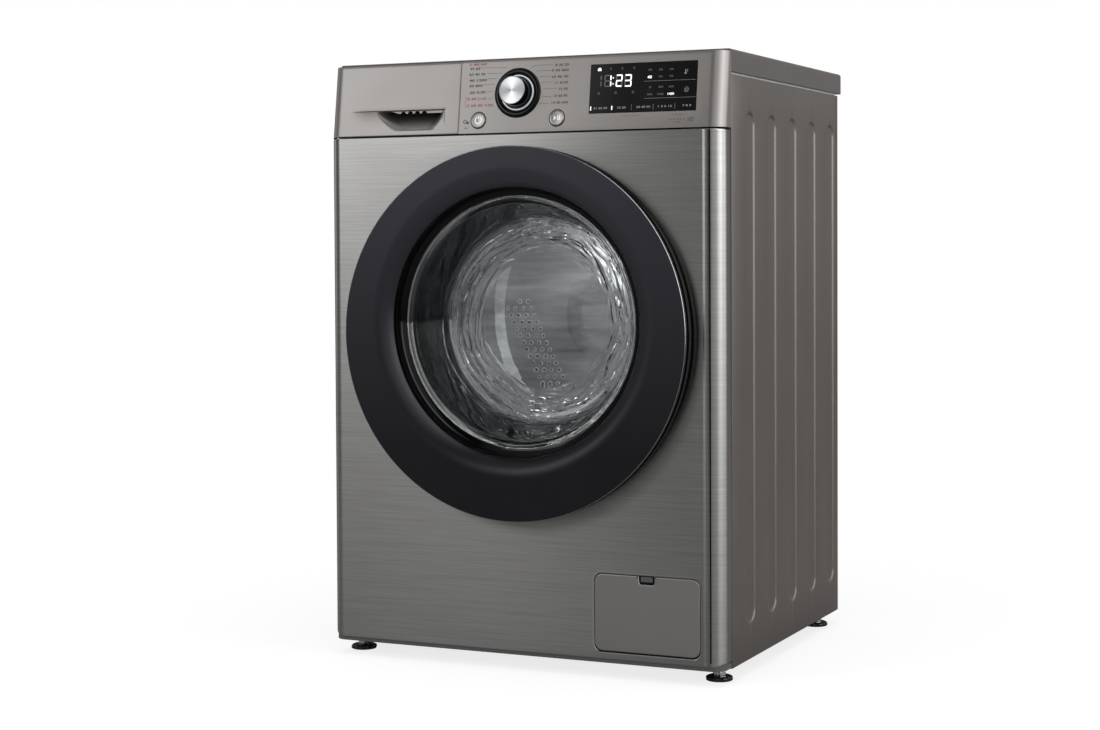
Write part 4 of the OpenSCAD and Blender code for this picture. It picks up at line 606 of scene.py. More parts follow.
def hatch():
    """The flush plate with its notch, the lever in its well, two ears and the pin."""
    mid = (HATCH_LEFT + HATCH_RIGHT) / 2
    outline = rounded_box(HATCH_LEFT, HATCH_RIGHT, HATCH_LOW, HATCH_HIGH, HATCH_R)
    top = max(k for k, (x, z) in enumerate(outline) if z > HATCH_HIGH - 0.01 and x > mid) + 1
    notch = [(LATCH_HALF + out, HATCH_HIGH - down) for out, down in (
        (9, 0), (4, 0), (0.4, 0), (0, 0.6), (0, LATCH_H - 3), (-0.9, LATCH_H - 0.9), (-3, LATCH_H))]
    outline[top:top] = [(mid + off, z) for off, z in notch] + [(mid - off, z) for off, z in reversed(notch)]
    plate("service_hatch_skin", outline,
          [(0.1, 1.6), (0, 1.25), (0.12, 0.8), (0.45, 0.35), (0.95, 0.1), (1.6, 0.0), (2.4, 0.0)],
          crease=50, paint=HATCH_PAINT)

    def in_notch(beside, low, high, corner, steps):
        return rounded_box(mid - LATCH_HALF + beside, mid + LATCH_HALF - beside,
                           HATCH_HIGH - LATCH_H + low, HATCH_HIGH - high, corner, steps)

    plate("latch_well", in_notch(-0.6, -0.6, 0.3, 1.2, 8), [(0, 1.3), (0.8, 1.45), (1.5, 1.5)],
          slot="black_plastic")
    plate("latch_lever", in_notch(2.5, 3.6, 0.6, 1.2, 3),
          [(0, 1.4), (0, 0.8), (0.25, 0.45), (0.8, 0.3), (1.6, 0.3), (2.0, 0.7)], slot="base_plastic")
    for side, x in (("left", HATCH_LEFT + EAR_IN), ("right", HATCH_RIGHT - EAR_IN)):
        plate("hatch_ear_" + side, rounded_box(x - 2, x + 2, EAR_LOW, EAR_HIGH, 1.5, 3),
              [(0, 1.5), (0, 5.2), (0.5, 5.6)])
    rows = [[(corner[0], FRONT_Y + 3 + PIN_R * cos(a), PIN_Z + PIN_R * sin(a)) for a in circle(PIN_SIDES)]
            for corner in span("service_hatch")]
    points, faces = grid(rows, close_across=True)
    ends = [tuple(range(PIN_SIDES)), tuple(range(PIN_SIDES, 2 * PIN_SIDES))]
    make("hatch_pin", points, faces + ends, "service_hatch")


FRONT_R = 20
BEAD = 0.35


def bead(turn):
    """Height of the shallow bead, which fades out in the first 12 degrees of the bend."""
    return BEAD * (1 - ease(turn / 12))


def sheet_columns(back):
    """(x, depth, turn) across a front sheet: flat, a shallow bead on the right, bends and sides."""
    right = [(271, 0, 0), (271.6, 0, 0)]
    right += [(271.6 + 0.6 * k, -BEAD * ease(k / 8), 0) for k in range(1, 9)] + [(278, -BEAD, 0)]
    for turn in range(0, 91, 5):
        a = radians(turn)
        right.append((HALF_W - FRONT_R + FRONT_R * sin(a), FRONT_R - FRONT_R * cos(a) - bead(turn), a))
    right += [(HALF_W - inwards, depth, pi / 2) for inwards, depth in (
        (0, FRONT_R), (0, back - 1.2), (0.35, back - 0.35), (1.2, back), (15, back))]
    return [(-x, max(depth, 0), -turn) for x, depth, turn in reversed(right)] + right


def edge_radius(turn, lower):
    """Rounding of the sheet's lower or upper edge, larger round the corners."""
    return 2.4 + 5.6 * ease(abs(turn) / 1.2) if lower else 1.6 + 1.6 * ease(abs(turn) / 1.2)


def front_rows():
    """Rows of the front sheet: round its lower edge, then round its upper edge."""
    low, high = span("front_panel")
    columns = sheet_columns(high[1] - low[1])
    steps = [(90, 7)] + [(t, 0) for t in range(90, -1, -15)]
    rows = []
    for lower in (True, False):
        for t, extra in steps if lower else reversed(steps):
            row = []
            for x, depth, turn in columns:
                r = edge_radius(turn, lower)
                back = r * (1 - cos(radians(t))) + extra
                off = r * (1 - sin(radians(t)))
                row.append((x - back * sin(turn), FRONT_Y + depth + back * cos(turn),
                            low[2] + off if lower else high[2] - off))
            rows.append(row)
    return rows


def front_panel():
    """The sheet, with its middle face cut again round the port, the hook's slot and the hatch."""
    rows = front_rows()
    points, faces = grid(rows)
    across = len(rows[0])
    left, below = across // 2 - 1, len(rows) // 2 - 1
    faces.pop(below * (across - 1) + left)
    loops = [[rows[below][left], rows[below][left + 1], rows[below + 1][left + 1], rows[below + 1][left]]]
    hook = middle("door_hook", 0)
    for outline, levels in (
            ([(PORT_R * cos(a), PORT_Z + PORT_R * sin(a)) for a in circle(192)],
             [(1.2, 12), (0, 12), (0, 0.9), (-0.3, 0.25), (-0.9, 0), (-1.6, 0)]),
            (rounded_box(hook - 9, hook + 9, PORT_Z - 15, PORT_Z + 15, 2),
             [(0, 2), (0, 0.4), (-0.4, 0), (-0.8, 0)]),
            (rounded_box(HATCH_LEFT - 0.6, HATCH_RIGHT + 0.6, HATCH_LOW - 1.8, HATCH_HIGH + 0.6, HATCH_R),
             [(0.1, 1.6), (0, 0.7), (-0.3, 0.25), (-0.9, -0.05), (-1.5, -0.13), (-2.1, -0.05), (-2.7, 0),
              (-3.2, 0)])):
        rim = inset_rows(outline, levels)
        add_faces(points, faces, *grid(rim, close_across=True))
        loops.append(rim[-1])
    corners = [p for loop in loops for p in loop]
    for face in filled(loops):
        add_faces(points, faces, [corners[k] for k in face], [(0, 1, 2)])
    make("front_panel_skin", points, faces, "front_panel", crease=40)


def corner_painted_reflection():
    """A black strip that runs up the start of the right hand bend: a painted reflection of a dark band in the
    studio.
    """
    low, high = span("front_panel")
    under = FRONT_R - 0.3
    turns = [4 + 1.1 * k for k in range(6)]
    section = [(under, 3.5)] + [(FRONT_R + 0.05 + bead(turn), turn) for turn in turns] + [(under, 10)]
    rows = [[(HALF_W - FRONT_R + r * sin(radians(turn)),
              FRONT_Y + FRONT_R - r * cos(radians(turn)), z) for r, turn in section]
            for z in (low[2] + 7, high[2] - 1.5)]
    skin("front_corner_line", rows, "front_panel", slot="trim_black")


side_panel("side_panel_right", 1)
side_panel("side_panel_left", -1)
front_panel()
corner_painted_reflection()
hatch()


# ---------- Feet ----------


def upright(name, profile, node, turns=64, **more):
    """Revolves (radius, height) points about the upright axis through the middle of a CAD node."""
    x, y = middle(node, 0), middle(node, 1)
    revolve(name, profile, node, lambda c, s, z: (x + c, y + s, z), turns, **more)


HOLLOWS = 8
HOLLOW_R = 10
HOLLOW_AT = 27       # distance of a finger hollow's axis from the foot's axis
NUT_FLAT = 7.97      # distance of a nut's flats from its axis
THREAD_PITCH = 1.5
THREAD_H = 0.75


def lobed(radius, z, angle):
    """A foot's pad: shallow finger hollows round its edge."""
    pitch = 2 * pi / HOLLOWS
    turn = (angle - pitch / 2) % pitch
    turn = min(turn, pitch - turn)
    side = HOLLOW_AT * sin(turn)
    if abs(side) < HOLLOW_R:
        radius = min(radius, HOLLOW_AT * cos(turn) - sqrt(HOLLOW_R ** 2 - side * side))
    return radius, z


def hexed(radius, z, angle):
    """A nut's six flats."""
    return min(radius, NUT_FLAT / cos(angle % radians(60) - radians(30))), z


def threaded(radius, z, angle):
    """A stud's thread; its end stays flat near the axis."""
    phase = (z / THREAD_PITCH - angle / (2 * pi)) % 1.0
    return radius - THREAD_H * abs(2 * phase - 1) * (radius > 1), z


def foot(node):
    pad = rounded_profile([(0.2, 0), (17.4, 0), (18.8, 1.4), (18.8, 4.6), (15.5, 6.4), (11, 7.0), (10, 6.2),
                           (0.2, 6.2)], 0.8)
    upright(node + "_pad", pad, node, 128, wobble=lobed, replaces=True)
    nut = [(5.1, 6.4), (8.2, 6.4), (9.2, 7.2), (9.2, 12.9), (8.2, 13.7), (5.1, 13.7)]
    upright(node + "_nut", nut, node, 96, wobble=hexed, slot="bearing_steel")
    stud = [(0.3, 7)] + [(5, 7 + 0.3 * k) for k in range(135)] + [(4, 47.5), (0.3, 47.5)]
    upright(node + "_stud", stud, node, 32, wobble=threaded, slot="bearing_steel")


for foot_node in ("foot_front_left", "foot_front_right", "foot_rear_left", "foot_rear_right"):
    foot(foot_node)


# ---------- Door ----------

ROLL = 30            # how far the curve into the funnel reaches outwards
RIM_R = 1.8          # rounding of the ring's outer edge
WALL = 3             # thickness of the ring
LINER_T = 1.9        # thickness of the gloss liner
GLOSS_FROM = 62      # angle on the roll at which the satin ends and the gloss liner starts
RIM_BACK = -22.0     # depth of the back of the ring's outer rim
EDGE_R = 0.78        # radius of the fine metal line round the ring's outer edge, a painted highlight


def roll_point(angle, inset=0.0):
    """A row on the curve that rolls into the funnel."""
    a = radians(angle)
    return (PORT_Z, FUNNEL_R + ROLL - (ROLL - inset) * sin(a),
            -2 - (DOOR_OUT - 2 - inset) * cos(a))


def ring(name, rows, **more):
    """A part of the door ring from rows of (centre height, radius, depth behind the steel face)."""
    swept = [[(radius * sin(a), FRONT_Y + depth, centre + radius * cos(a)) for a in circle(256)]
             for centre, radius, depth in rows]
    skin(name, swept, "door_ring", True, True, **more)


def door_ring():
    """The satin ring, the gloss liner in its funnel and the fine metal line round its edge, which is a
    painted highlight.
    """
    rows = [(RING_Z, RING_R, RIM_BACK)]
    for step in range(7):
        a = radians(15 * step)
        rows.append((RING_Z, RING_R - RIM_R + RIM_R * cos(a), -DOOR_OUT + RIM_R - RIM_R * sin(a)))
    for share in (0.02, 0.3, 0.7, 0.98):
        rows.append((RING_Z + (PORT_Z - RING_Z) * share,
                     (RING_R - RIM_R) * (1 - share) + roll_point(0)[1] * share, -DOOR_OUT))
    rows += [roll_point(angle) for angle in range(0, GLOSS_FROM + 1, 2)]
    rows += [roll_point(GLOSS_FROM, 0.8), roll_point(GLOSS_FROM, WALL)]
    rows += [roll_point(angle, WALL) for angle in range(GLOSS_FROM - 10, -1, -13)]
    rows += [(RING_Z, RING_R - WALL, -DOOR_OUT + WALL), (RING_Z, RING_R - WALL, RIM_BACK)]
    ring("door_ring_skin", rows, crease=40)

    under = 0.7
    back = under + LINER_T
    rows = [roll_point(GLOSS_FROM, 2.4), roll_point(GLOSS_FROM + 0.5, 1.1)]
    rows.append(roll_point(GLOSS_FROM + 1.5, under))
    rows += [roll_point(angle, under) for angle in range(GLOSS_FROM + 3, 90, 3)]
    rows += [(PORT_Z, FUNNEL_R + under, -1.7), (PORT_Z, FUNNEL_R + back, -1.7)]
    rows += [roll_point(angle, back) for angle in range(87, GLOSS_FROM, -6)]
    ring("funnel_liner", rows, crease=40, slot="trim_black")
    # the fine metal line round the ring's edge, a painted highlight
    ring("door_ring_edge", [(RING_Z, RING_R - 1 + EDGE_R * cos(a), -DOOR_OUT + 1 + EDGE_R * sin(a))
                            for a in circle(12)], crease=60, slot="bearing_steel", paint=RIM_HIGHLIGHT_PAINT)


def about_port(node, profile, turns=192, **more):
    """A node's skin from (radius, depth behind the steel face) points about the port's axis."""
    def place(c, s, depth):
        return s, FRONT_Y + depth, PORT_Z + c

    revolve(node + "_skin", profile, node, place, turns, **more)


GLASS_OUT = [(183.4, 4.7), (183.4, 9.7), (175, 9.9), (172.6, 11.5), (171.6, 15), (168, 30), (164, 48),
             (160.5, 63), (157.5, 75), (153.5, 83), (146, 88.4), (134, 90.2), (110, 90.9), (70, 91), (30, 91)]
GLASS_IN = [(30, 85), (70, 85), (110, 84.8), (130, 83.8), (140, 81), (146.5, 75), (150.5, 67), (155, 52),
            (159.5, 35), (163.2, 18), (165.4, 9), (167.2, 5.2), (169.4, 3.4), (172, 2.7), (174.2, 3.2),
            (175.3, 4.7)]
WAVE_SIDE = 4.4      # height of the waves in the bowl's wall, in millimetres for each unit of noise
WAVE_END = 7.5       # and on its end, where they are cut off at WAVE_MOST
WAVE_MOST = 4.6


def smoothed(path):
    """A path with its corners cut twice over, its ends kept."""
    for _ in range(2):
        made = [path[0]]
        for (x0, y0), (x1, y1) in zip(path, path[1:]):
            made += [(x0 * (1 - share) + x1 * share, y0 * (1 - share) + y1 * share) for share in (0.25, 0.75)]
        path = made + [path[-1]]
    return path


def resampled(path, step):
    """The path with points about every step along it."""
    made = [path[0]]
    for (x0, y0), (x1, y1) in zip(path, path[1:]):
        count = max(1, round(hypot(x1 - x0, y1 - y0) / step))
        made += [(x0 + (x1 - x0) * k / count, y0 + (y1 - y0) * k / count) for k in range(1, count + 1)]
    return made


def glass_wave(radius, depth, angle):
    """Pressed glass isn't even: waves that run round the bowl where its wall meets its end."""
    strength = ease((depth - 68) / 12) * ease((radius - 92) / 26)
    slow = noise.noise(Vector((cos(angle) * 1.2, sin(angle) * 1.2, 5)))
    along = (radius - depth) / 10 + slow * 2.4
    at = Vector((cos(angle) * 1.5, sin(angle) * 1.5, along))
    ripple = noise.noise(at) + 0.55 * noise.noise(at * 2.6 + Vector((7, 3, 1)))
    flat = ease((depth - 79) / 8)
    return (radius + ripple * WAVE_SIDE * strength * (1 - flat),
            depth - min(WAVE_MOST, abs(ripple) * WAVE_END) * strength * flat)


def door_glass():
    outer = smoothed(GLASS_OUT[:2]) + resampled(smoothed(GLASS_OUT[2:]), 1.3)
    outside = set(outer)

    def wobble(radius, depth, angle):
        if depth > 12 and (radius, depth) in outside:
            return glass_wave(radius, depth, angle)
        return radius, depth

    profile = outer + [(0.4, 91), (0.4, 85)] + smoothed(GLASS_IN)
    about_port("door_glass", profile, 360, crease=60, wobble=wobble)


door_ring()
about_port("door_trim", rounded_profile([(175.5, 4.4), (184, 4.4), (184, -1.6), (182.9, -1.6), (181.4, 0.6),
                                         (177.4, 2.4), (175.5, 3.0)], 0.7))
door_glass()


# ---------- Drum's back, gasket, springs and hoses ----------

BAND_R = 152         # distance of a band of holes from the drum's axis
BAND_TURNS = (-207, -87, 33)
BAND_ROWS, BAND_COLUMNS = 4, 16
HOLE_PITCH = 12
HOLE_R = 2.9
RIM_WIRE = 0.75      # half the width of the pressed rim round a hole


def hole_rims():
    """Pressed rims round the holes of the three perforated bands of the drum's back, painted paler than the
    back's own steel as painted highlights.
    """
    face = span("drum_back")[1][1] - 4.2
    points, faces = [], []
    for turn in map(radians, BAND_TURNS):
        for j in range(BAND_ROWS):
            for k in range(BAND_COLUMNS):
                u = BAND_R + (j - (BAND_ROWS - 1) / 2) * HOLE_PITCH
                v = (k - (BAND_COLUMNS - 1) / 2 + (j % 2) / 2 - 0.25) * HOLE_PITCH
                x = u * cos(turn) - v * sin(turn)
                z = PORT_Z - u * sin(turn) - v * cos(turn)
                rim = [(HOLE_R + RIM_WIRE * cos(b), face + RIM_WIRE * sin(b)) for b in circle(6)]
                rows = [[(x + r * cos(a), y, z + r * sin(a)) for r, y in rim] for a in circle(16)]
                add_faces(points, faces, *grid(rows, close_across=True, close_along=True))
    make("drum_back_rims", points, faces, "drum_back", paint=DRUM_RIM_PAINTED_HIGHLIGHT)


# The gasket's section: (outside the port's radius, depth behind the steel face)
GASKET = [(-5.2, 0.6), (-1.5, 0.6), (-1.5, 12.2), (0.1, 12.2), (0.1, 2.2), (3.4, 2.2), (3.4, 14.8),
          (-2, 16), (-4, 20), (4, 30), (4, 35), (-9, 42), (-9, 45), (-9.2, 52), (-9.2, 69.8), (-12.3, 69.8),
          (-12.3, 55), (-12.5, 47), (-12.5, 40), (0.5, 33), (0.5, 31), (-9, 21), (-20.4, 18.6),
          (-20.4, 16.4), (-8, 14.2)]
COIL_R = 8
COIL_TURNS = 6
WIRE_R = 1.45
HOOK_H = 8           # height of a spring's straight hooks
COIL_END = 12        # height at which its turns start
TURN_STEPS = 24
SPRING_IN = 17       # how far the springs stand inside the cabinet's sides
SPRING_DEPTHS = (("front", 182.9), ("rear", 328.9))
HOSE_T = 2


def in_metres(*point):
    return tuple(c * MM for c in point)


def coil(name, x, y, low, high):
    """A suspension spring: straight hooks at both ends of its turns of wire."""
    path = [(COIL_R, 0, low), (COIL_R, 0, low + HOOK_H)]
    steps = COIL_TURNS * TURN_STEPS
    for i in range(steps + 1):
        a = 2 * pi * i / TURN_STEPS
        path.append((COIL_R * cos(a), COIL_R * sin(a),
                     low + COIL_END + (high - low - 2 * COIL_END) * i / steps))
    path += [(COIL_R, 0, high - HOOK_H), (COIL_R, 0, high)]
    rows = []
    for i, here in enumerate(path):
        along = (Vector(path[min(i + 1, len(path) - 1)]) - Vector(path[max(i - 1, 0)])).normalized()
        out = Vector((here[0], here[1], 0)).normalized()
        up = along.cross(out).normalized()
        rows.append([tuple(Vector((x, y, 0)) + Vector(here) + WIRE_R * (out * cos(b) + up * sin(b)))
                     for b in circle(8)])
    skin(name, rows, "suspension_springs", True, replaces=name == "spring_right_rear",
         bends=(in_metres(x, y, high - HOOK_H), in_metres(x, y, low + HOOK_H)))


def springs():
    low, high = (corner[2] for corner in span("suspension_springs"))
    for place, depth in SPRING_DEPTHS:
        for side, x in (("left", SPRING_IN - HALF_W), ("right", HALF_W - SPRING_IN)):
            coil("spring_%s_%s" % (side, place), x, FRONT_Y + depth, low + 0.2, high - 0.2)


def hose(node, radius, ridge, ridges, tub_end):
    """A ribbed rubber hose; tub_end says whether its upper or lower end meets the tub."""
    low, high = span(node)
    outer = []
    for k in range(ridges * 8 + 1):
        share = k / (ridges * 8)
        swell = 0.5 - 0.5 * cos(2 * pi * share * ridges)
        outer.append((radius + HOSE_T + ridge * swell, low[2] + (high[2] - low[2]) * share))
    inner = [(r - HOSE_T, z) for r, z in reversed(outer)]
    ends = [in_metres(middle(node, 0), middle(node, 1), z) for z in (low[2], high[2])]
    upright(node + "_skin", outer + inner, node, bends=ends if tub_end == "upper" else ends[::-1])


hole_rims()
about_port("door_gasket", rounded_profile([(PORT_R + r, depth) for r, depth in GASKET], 1.2),
           bends=(in_metres(0, FRONT_Y + 16, PORT_Z), in_metres(0, FRONT_Y + 52, PORT_Z)))
springs()
hose("dispenser_hose", 15.4, 2.3, 5, "lower")
hose("sump_hose", 17.4, 2.9, 9, "upper")


# ---------- Dial and buttons ----------


def turned(name, profile, node, x=DIAL_X, up=DIAL_UP, turns=128, **more):
    """Revolves (radius, height out of the face) points about an axis that stands on the fascia."""
    revolve(name, profile, node, lambda c, s, out: on_face(x + c, up + s, out), turns, **more)


KNOB_H = 20
CAP_UNDER = 0.6      # how far below the knob's rim the spun cap sits


def dial():
    turned("dial_bezel_skin", rounded_profile(
        [(28.8, -2.4), (28.8, 0.02), (35, 0.02), (35, 0.5), (33.8, 1.6), (31.4, 2.4), (29, 2.4), (26.8, 1.7),
         (25.4, 0.6), (22.4, 0.2), (22.4, -2.4)], 1.4), "dial_bezel")
    # The chrome ring round the dial, made to glow as a painted highlight
    turned("dial_light_ring", rounded_profile(
        [(22.9, 0.6), (24.8, 0.6), (24.8, 1.9), (24.3, 2.4), (23.4, 2.4), (22.9, 1.9)], 0.2),
        "dial_bezel", paint=DIAL_RING_PAINTED_GLOW, slot="dial_metal")
    turned("dial_knob_skin", rounded_profile(
        [(3.9, -16.9), (3.9, 0), (21.4, 0), (21.4, 1.6), (20.6, 3.2), (19.9, KNOB_H - 1.4),
         (19.3, KNOB_H - 0.7), (17, KNOB_H - 1), (10, KNOB_H - 2), (0.2, KNOB_H - 2), (0.2, -16.9)], 0.5),
        "dial_knob", slot="black_plastic")


def dial_cap():
    """The spun cap, which keeps its own axis because its grain runs round it."""
    profile = rounded_profile([(0.05, -1.0), (18.6, -1.0), (19.5, -0.5), (19.5, 0.1), (18.9, 0.55),
                               (18.3, 0.35), (12, 0.42), (0.05, 0.5)], 0.3)
    rows = spin(profile, lambda c, s, height: (c, s, height), 160)
    mesh = bare_mesh("dial_cap", *grid(rows, close_across=True, close_along=True))
    smooth(mesh, 35)
    cap = bpy.data.objects.new("dial_cap", mesh)
    place = Vector(on_face(DIAL_X, DIAL_UP, KNOB_H - CAP_UNDER)) * MM
    cap.matrix_world = Matrix.Translation(place) @ Matrix.Rotation(pi / 2 - LEAN, 4, "X")
    settle(cap, "dial_knob")


class Print:
    """Flat marks that lie on the fascia, gathered into one thin piece."""

    def __init__(self, out=0.06):
        self.points, self.faces, self.out = [], [], out

    def shape(self, corners):
        add_faces(self.points, self.faces, [on_face(x, face_up(z), self.out) for x, z in corners],
                  [range(len(corners))])

    def bar(self, x0, x1, z0, z1):
        self.shape([(x0, z0), (x1, z0), (x1, z1), (x0, z1)])

    def line(self, path, width):
        for (x0, z0), (x1, z1) in zip(path, path[1:]):
            run = hypot(x1 - x0, z1 - z0)
            a, b = (z1 - z0) / run * width / 2, (x1 - x0) / run * width / 2
            self.shape([(x0 + a, z0 - b), (x1 + a, z1 - b), (x1 - a, z1 + b), (x0 - a, z0 + b)])

    def arc(self, x, z, r0, r1, start=0, end=360, steps=40):
        for i in range(steps):
            a, b = (radians(start + (end - start) * (i + k) / steps) for k in (0, 1))
            self.shape([(x + r * cos(turn), z + r * sin(turn))
                        for r, turn in ((r0, a), (r1, a), (r1, b), (r0, b))])

    def digits(self, text, x0, x1, z, height):
        """Figures in the built-in face, fitted between x0 and x1 about the height z."""
        curve = bpy.data.curves.new("figures", "FONT")
        curve.body = text
        curve.resolution_u = 3
        curve.offset = 0.022
        holder = bpy.data.objects.new("figures", curve)
        scene.collection.objects.link(holder)
        mesh = bpy.data.meshes.new_from_object(holder.evaluated_get(bpy.context.evaluated_depsgraph_get()))
        low = [min(v.co[i] for v in mesh.vertices) for i in (0, 1)]
        high = [max(v.co[i] for v in mesh.vertices) for i in (0, 1)]
        across, tall = (x1 - x0) / (high[0] - low[0]), height / (high[1] - low[1])
        points = [on_face(x0 + (v.co.x - low[0]) * across, face_up(z - height / 2 + (v.co.y - low[1]) * tall),
                          self.out) for v in mesh.vertices]
        add_faces(self.points, self.faces, points, [polygon.vertices for polygon in mesh.polygons])
        bpy.data.objects.remove(holder)
        bpy.data.curves.remove(curve)
        bpy.data.meshes.remove(mesh)

    def finish(self, name, node, paint):
        mesh = bare_mesh(name, self.points, self.faces)
        mesh.materials.append(paint)
        settle(bpy.data.objects.new(name, mesh), node)


def button(name, x, glyph):
    """A push button with a raised rim and a pale sign."""
    turned(name + "_skin", rounded_profile(
        [(2.8, -6.7), (2.8, -4.2), (12.4, -4.2), (12.4, -2.9), (10.9, -2.9), (10.9, 0.5), (10.4, 1.4),
         (9.7, 1.4), (9.1, 0.75), (0.1, 0.55), (0.1, -6.7)], 0.35), name, x, BUTTON_UP, 96)
    sign = Print(0.72)
    glyph(sign, x, BUTTON_Z + 0.1)
    sign.finish(name + "_sign", name, SIGN)


def power_glyph(sign, x, z):
    sign.arc(x, z, 3.7, 5.7, 115, 425)
    sign.bar(x - 0.7, x + 0.7, z + 1.6, z + 5.9)


def start_glyph(sign, x, z):
    sign.shape([(x - 4.6, z - 3.5), (x - 0.2, z), (x - 4.6, z + 3.5)])
    sign.bar(x + 0.6, x + 2.1, z - 3.4, z + 3.4)
    sign.bar(x + 3.1, x + 4.6, z - 3.4, z + 3.4)


dial()
dial_cap()
button("power_button", -BUTTON_X, power_glyph)
button("start_button", BUTTON_X, start_glyph)


# ---------- Printed marks: figures, leaders and plain signs, each at its own (x, z) ----------

LEFT_MARKS = [("95 60", -77.2, -62, 835), ("60 40 30", -78.2, -52.9, 827), ("40 1200", -77.7, -50.2, 818.5),
              ("30 800", -77.2, -56.2, 810.8), ("20 0:30", -75.9, -51.3, 801.6)]
RED_MARKS = [("1 40 60", -77.6, -51.6, 840.9), ("6 40 1:10", -78.9, -50, 792.6),
             ("7 60 30 1:25", -79.1, -38.7, 783.3)]
RIGHT_MARKS = [("8 30 20", 53.4, 74, 835.5), ("9 30 400", 48.3, 74, 828), ("10 40 30", 49.5, 74, 819.3),
               ("11 0:30", 54.1, 74, 811), ("12 95", 60.9, 74, 802.2), ("13 60 90", 53.8, 74, 792.8),
               ("14 20 600", 50.8, 75.2, 783.6)]
LEADERS = [[(-62.1, 836), (-20, 834.7)], [(-50.1, 827.5), (-27.4, 827.4)], [(-49.6, 820.3), (-34.1, 820.2)],
           [(-54.9, 812.3), (-38, 812.2)], [(-49.2, 802.1), (-40, 802.1)], [(-46.5, 792.1), (-39.5, 792.1)],
           [(18.2, 833), (22.5, 836), (50, 836.2)], [(24.6, 828.2), (46.9, 828.3)],
           [(30, 820.2), (48.1, 820.3)], [(34.6, 812.3), (51.3, 812.4)], [(37.3, 803), (58.1, 803.1)],
           [(35.2, 792.2), (50.4, 792.3)], [(32.2, 783), (47.4, 783.1)]]
FIGURE_H = 3.5


def fascia_print():
    dark, red, fine = Print(), Print(), Print()
    for sign, marks in ((dark, LEFT_MARKS + RIGHT_MARKS), (red, RED_MARKS)):
        for text, x0, x1, z in marks:
            sign.digits(text, x0, x1, z, FIGURE_H)
    red.line([(-78.6, 795), (-81.4, 795), (-81.4, 781), (-79.6, 781)], 0.5)
    for path in LEADERS:
        fine.line(path, 0.55)
    for x in (-BUTTON_X, BUTTON_X):
        dark.arc(x, BUTTON_Z, 11.2, 12.2, steps=64)
    dark.arc(-80.6, 760.9, 1.9, 2.9)
    dark.shape([(-77.6, 757.6), (-74.9, 757.6), (-74.9, 760.4), (-76.2, 761.6), (-77.6, 760.4)])
    dark.digits("24", -82, -76.5, 751.9, 2.2)
    dark.arc(256.1, 755.2, 2.2, 2.9)
    dark.arc(256.1, 755.2, 0, 0.6, steps=10)
    dark.bar(251.2, 252, 752, 758.2)
    for text, z, x0, x1, dashes in (("0 3 6 9", 762.6, 161, 179, ((155.6, 159.5), (180.5, 184.3))),
                                    ("0 5 10", 762.2, 229, 243, ((224.2, 227.6), (244.6, 248)))):
        fine.digits(text, x0, x1, z, 1.6)
        for start, end in dashes:
            fine.line([(start, z), (end, z)], 0.35)
    fine.digits("1 2 3 4 5 6", 223, 247, 755.6, 1.9)
    fine.digits("10 20", 231, 240, 751.8, 1.6)
    dark.finish("dial_figures", "control_fascia", INK)
    red.finish("dial_figures_red", "control_fascia", RED_INK)
    fine.finish("dial_leaders", "control_fascia", PALE_INK)


SEGMENT_T = 1.9
SEGMENT_GAP = 0.45


def seven(sign, x0, x1, z0, z1, keys):
    """Bars of a seven-bar figure in a box; its bars are called a to g, clockwise from the top."""
    half, gap, zm = SEGMENT_T / 2, SEGMENT_GAP, (z0 + z1) / 2
    levels = {"a": z1 - half, "d": z0 + half, "g": zm}
    uprights = {"f": (x0 + half, zm, z1), "b": (x1 - half, zm, z1), "e": (x0 + half, z0, zm),
                "c": (x1 - half, z0, zm)}
    for key in keys:
        if key in levels:
            z, low, high = levels[key], x0 + gap, x1 - gap
            sign.shape([(low, z), (low + half, z - half), (high - half, z - half), (high, z),
                        (high - half, z + half), (low + half, z + half)])
        else:
            x, low, high = uprights[key]
            low, high = low + gap, high - gap
            sign.shape([(x, low), (x + half, low + half), (x + half, high - half), (x, high),
                        (x - half, high - half), (x - half, low + half)])


def house(sign, x, z):
    outline = [(-2.6, -2), (2.6, -2), (2.6, 0.4), (1.2, 2.2), (-0.8, 2.2), (-2.6, 0.4)]
    sign.shape([(x + dx, z + dz) for dx, dz in outline])


def thermometer(sign, x, z):
    sign.arc(x, z - 2, 0, 1.5, steps=16)
    sign.bar(x - 0.6, x + 0.6, z - 1, z + 3)
    for i in range(3):
        sign.bar(x + 1.4, x + 3.4, z - 0.4 + i * 1.4, z + 0.1 + i * 1.4)


def swirl(sign, x, z):
    for i in range(3):
        sign.arc(x, z, 1 + i, 1.5 + i, i * 110, i * 110 + 250, steps=18)


FIGURES_LOW, FIGURES_HIGH = 801.9, 818.6


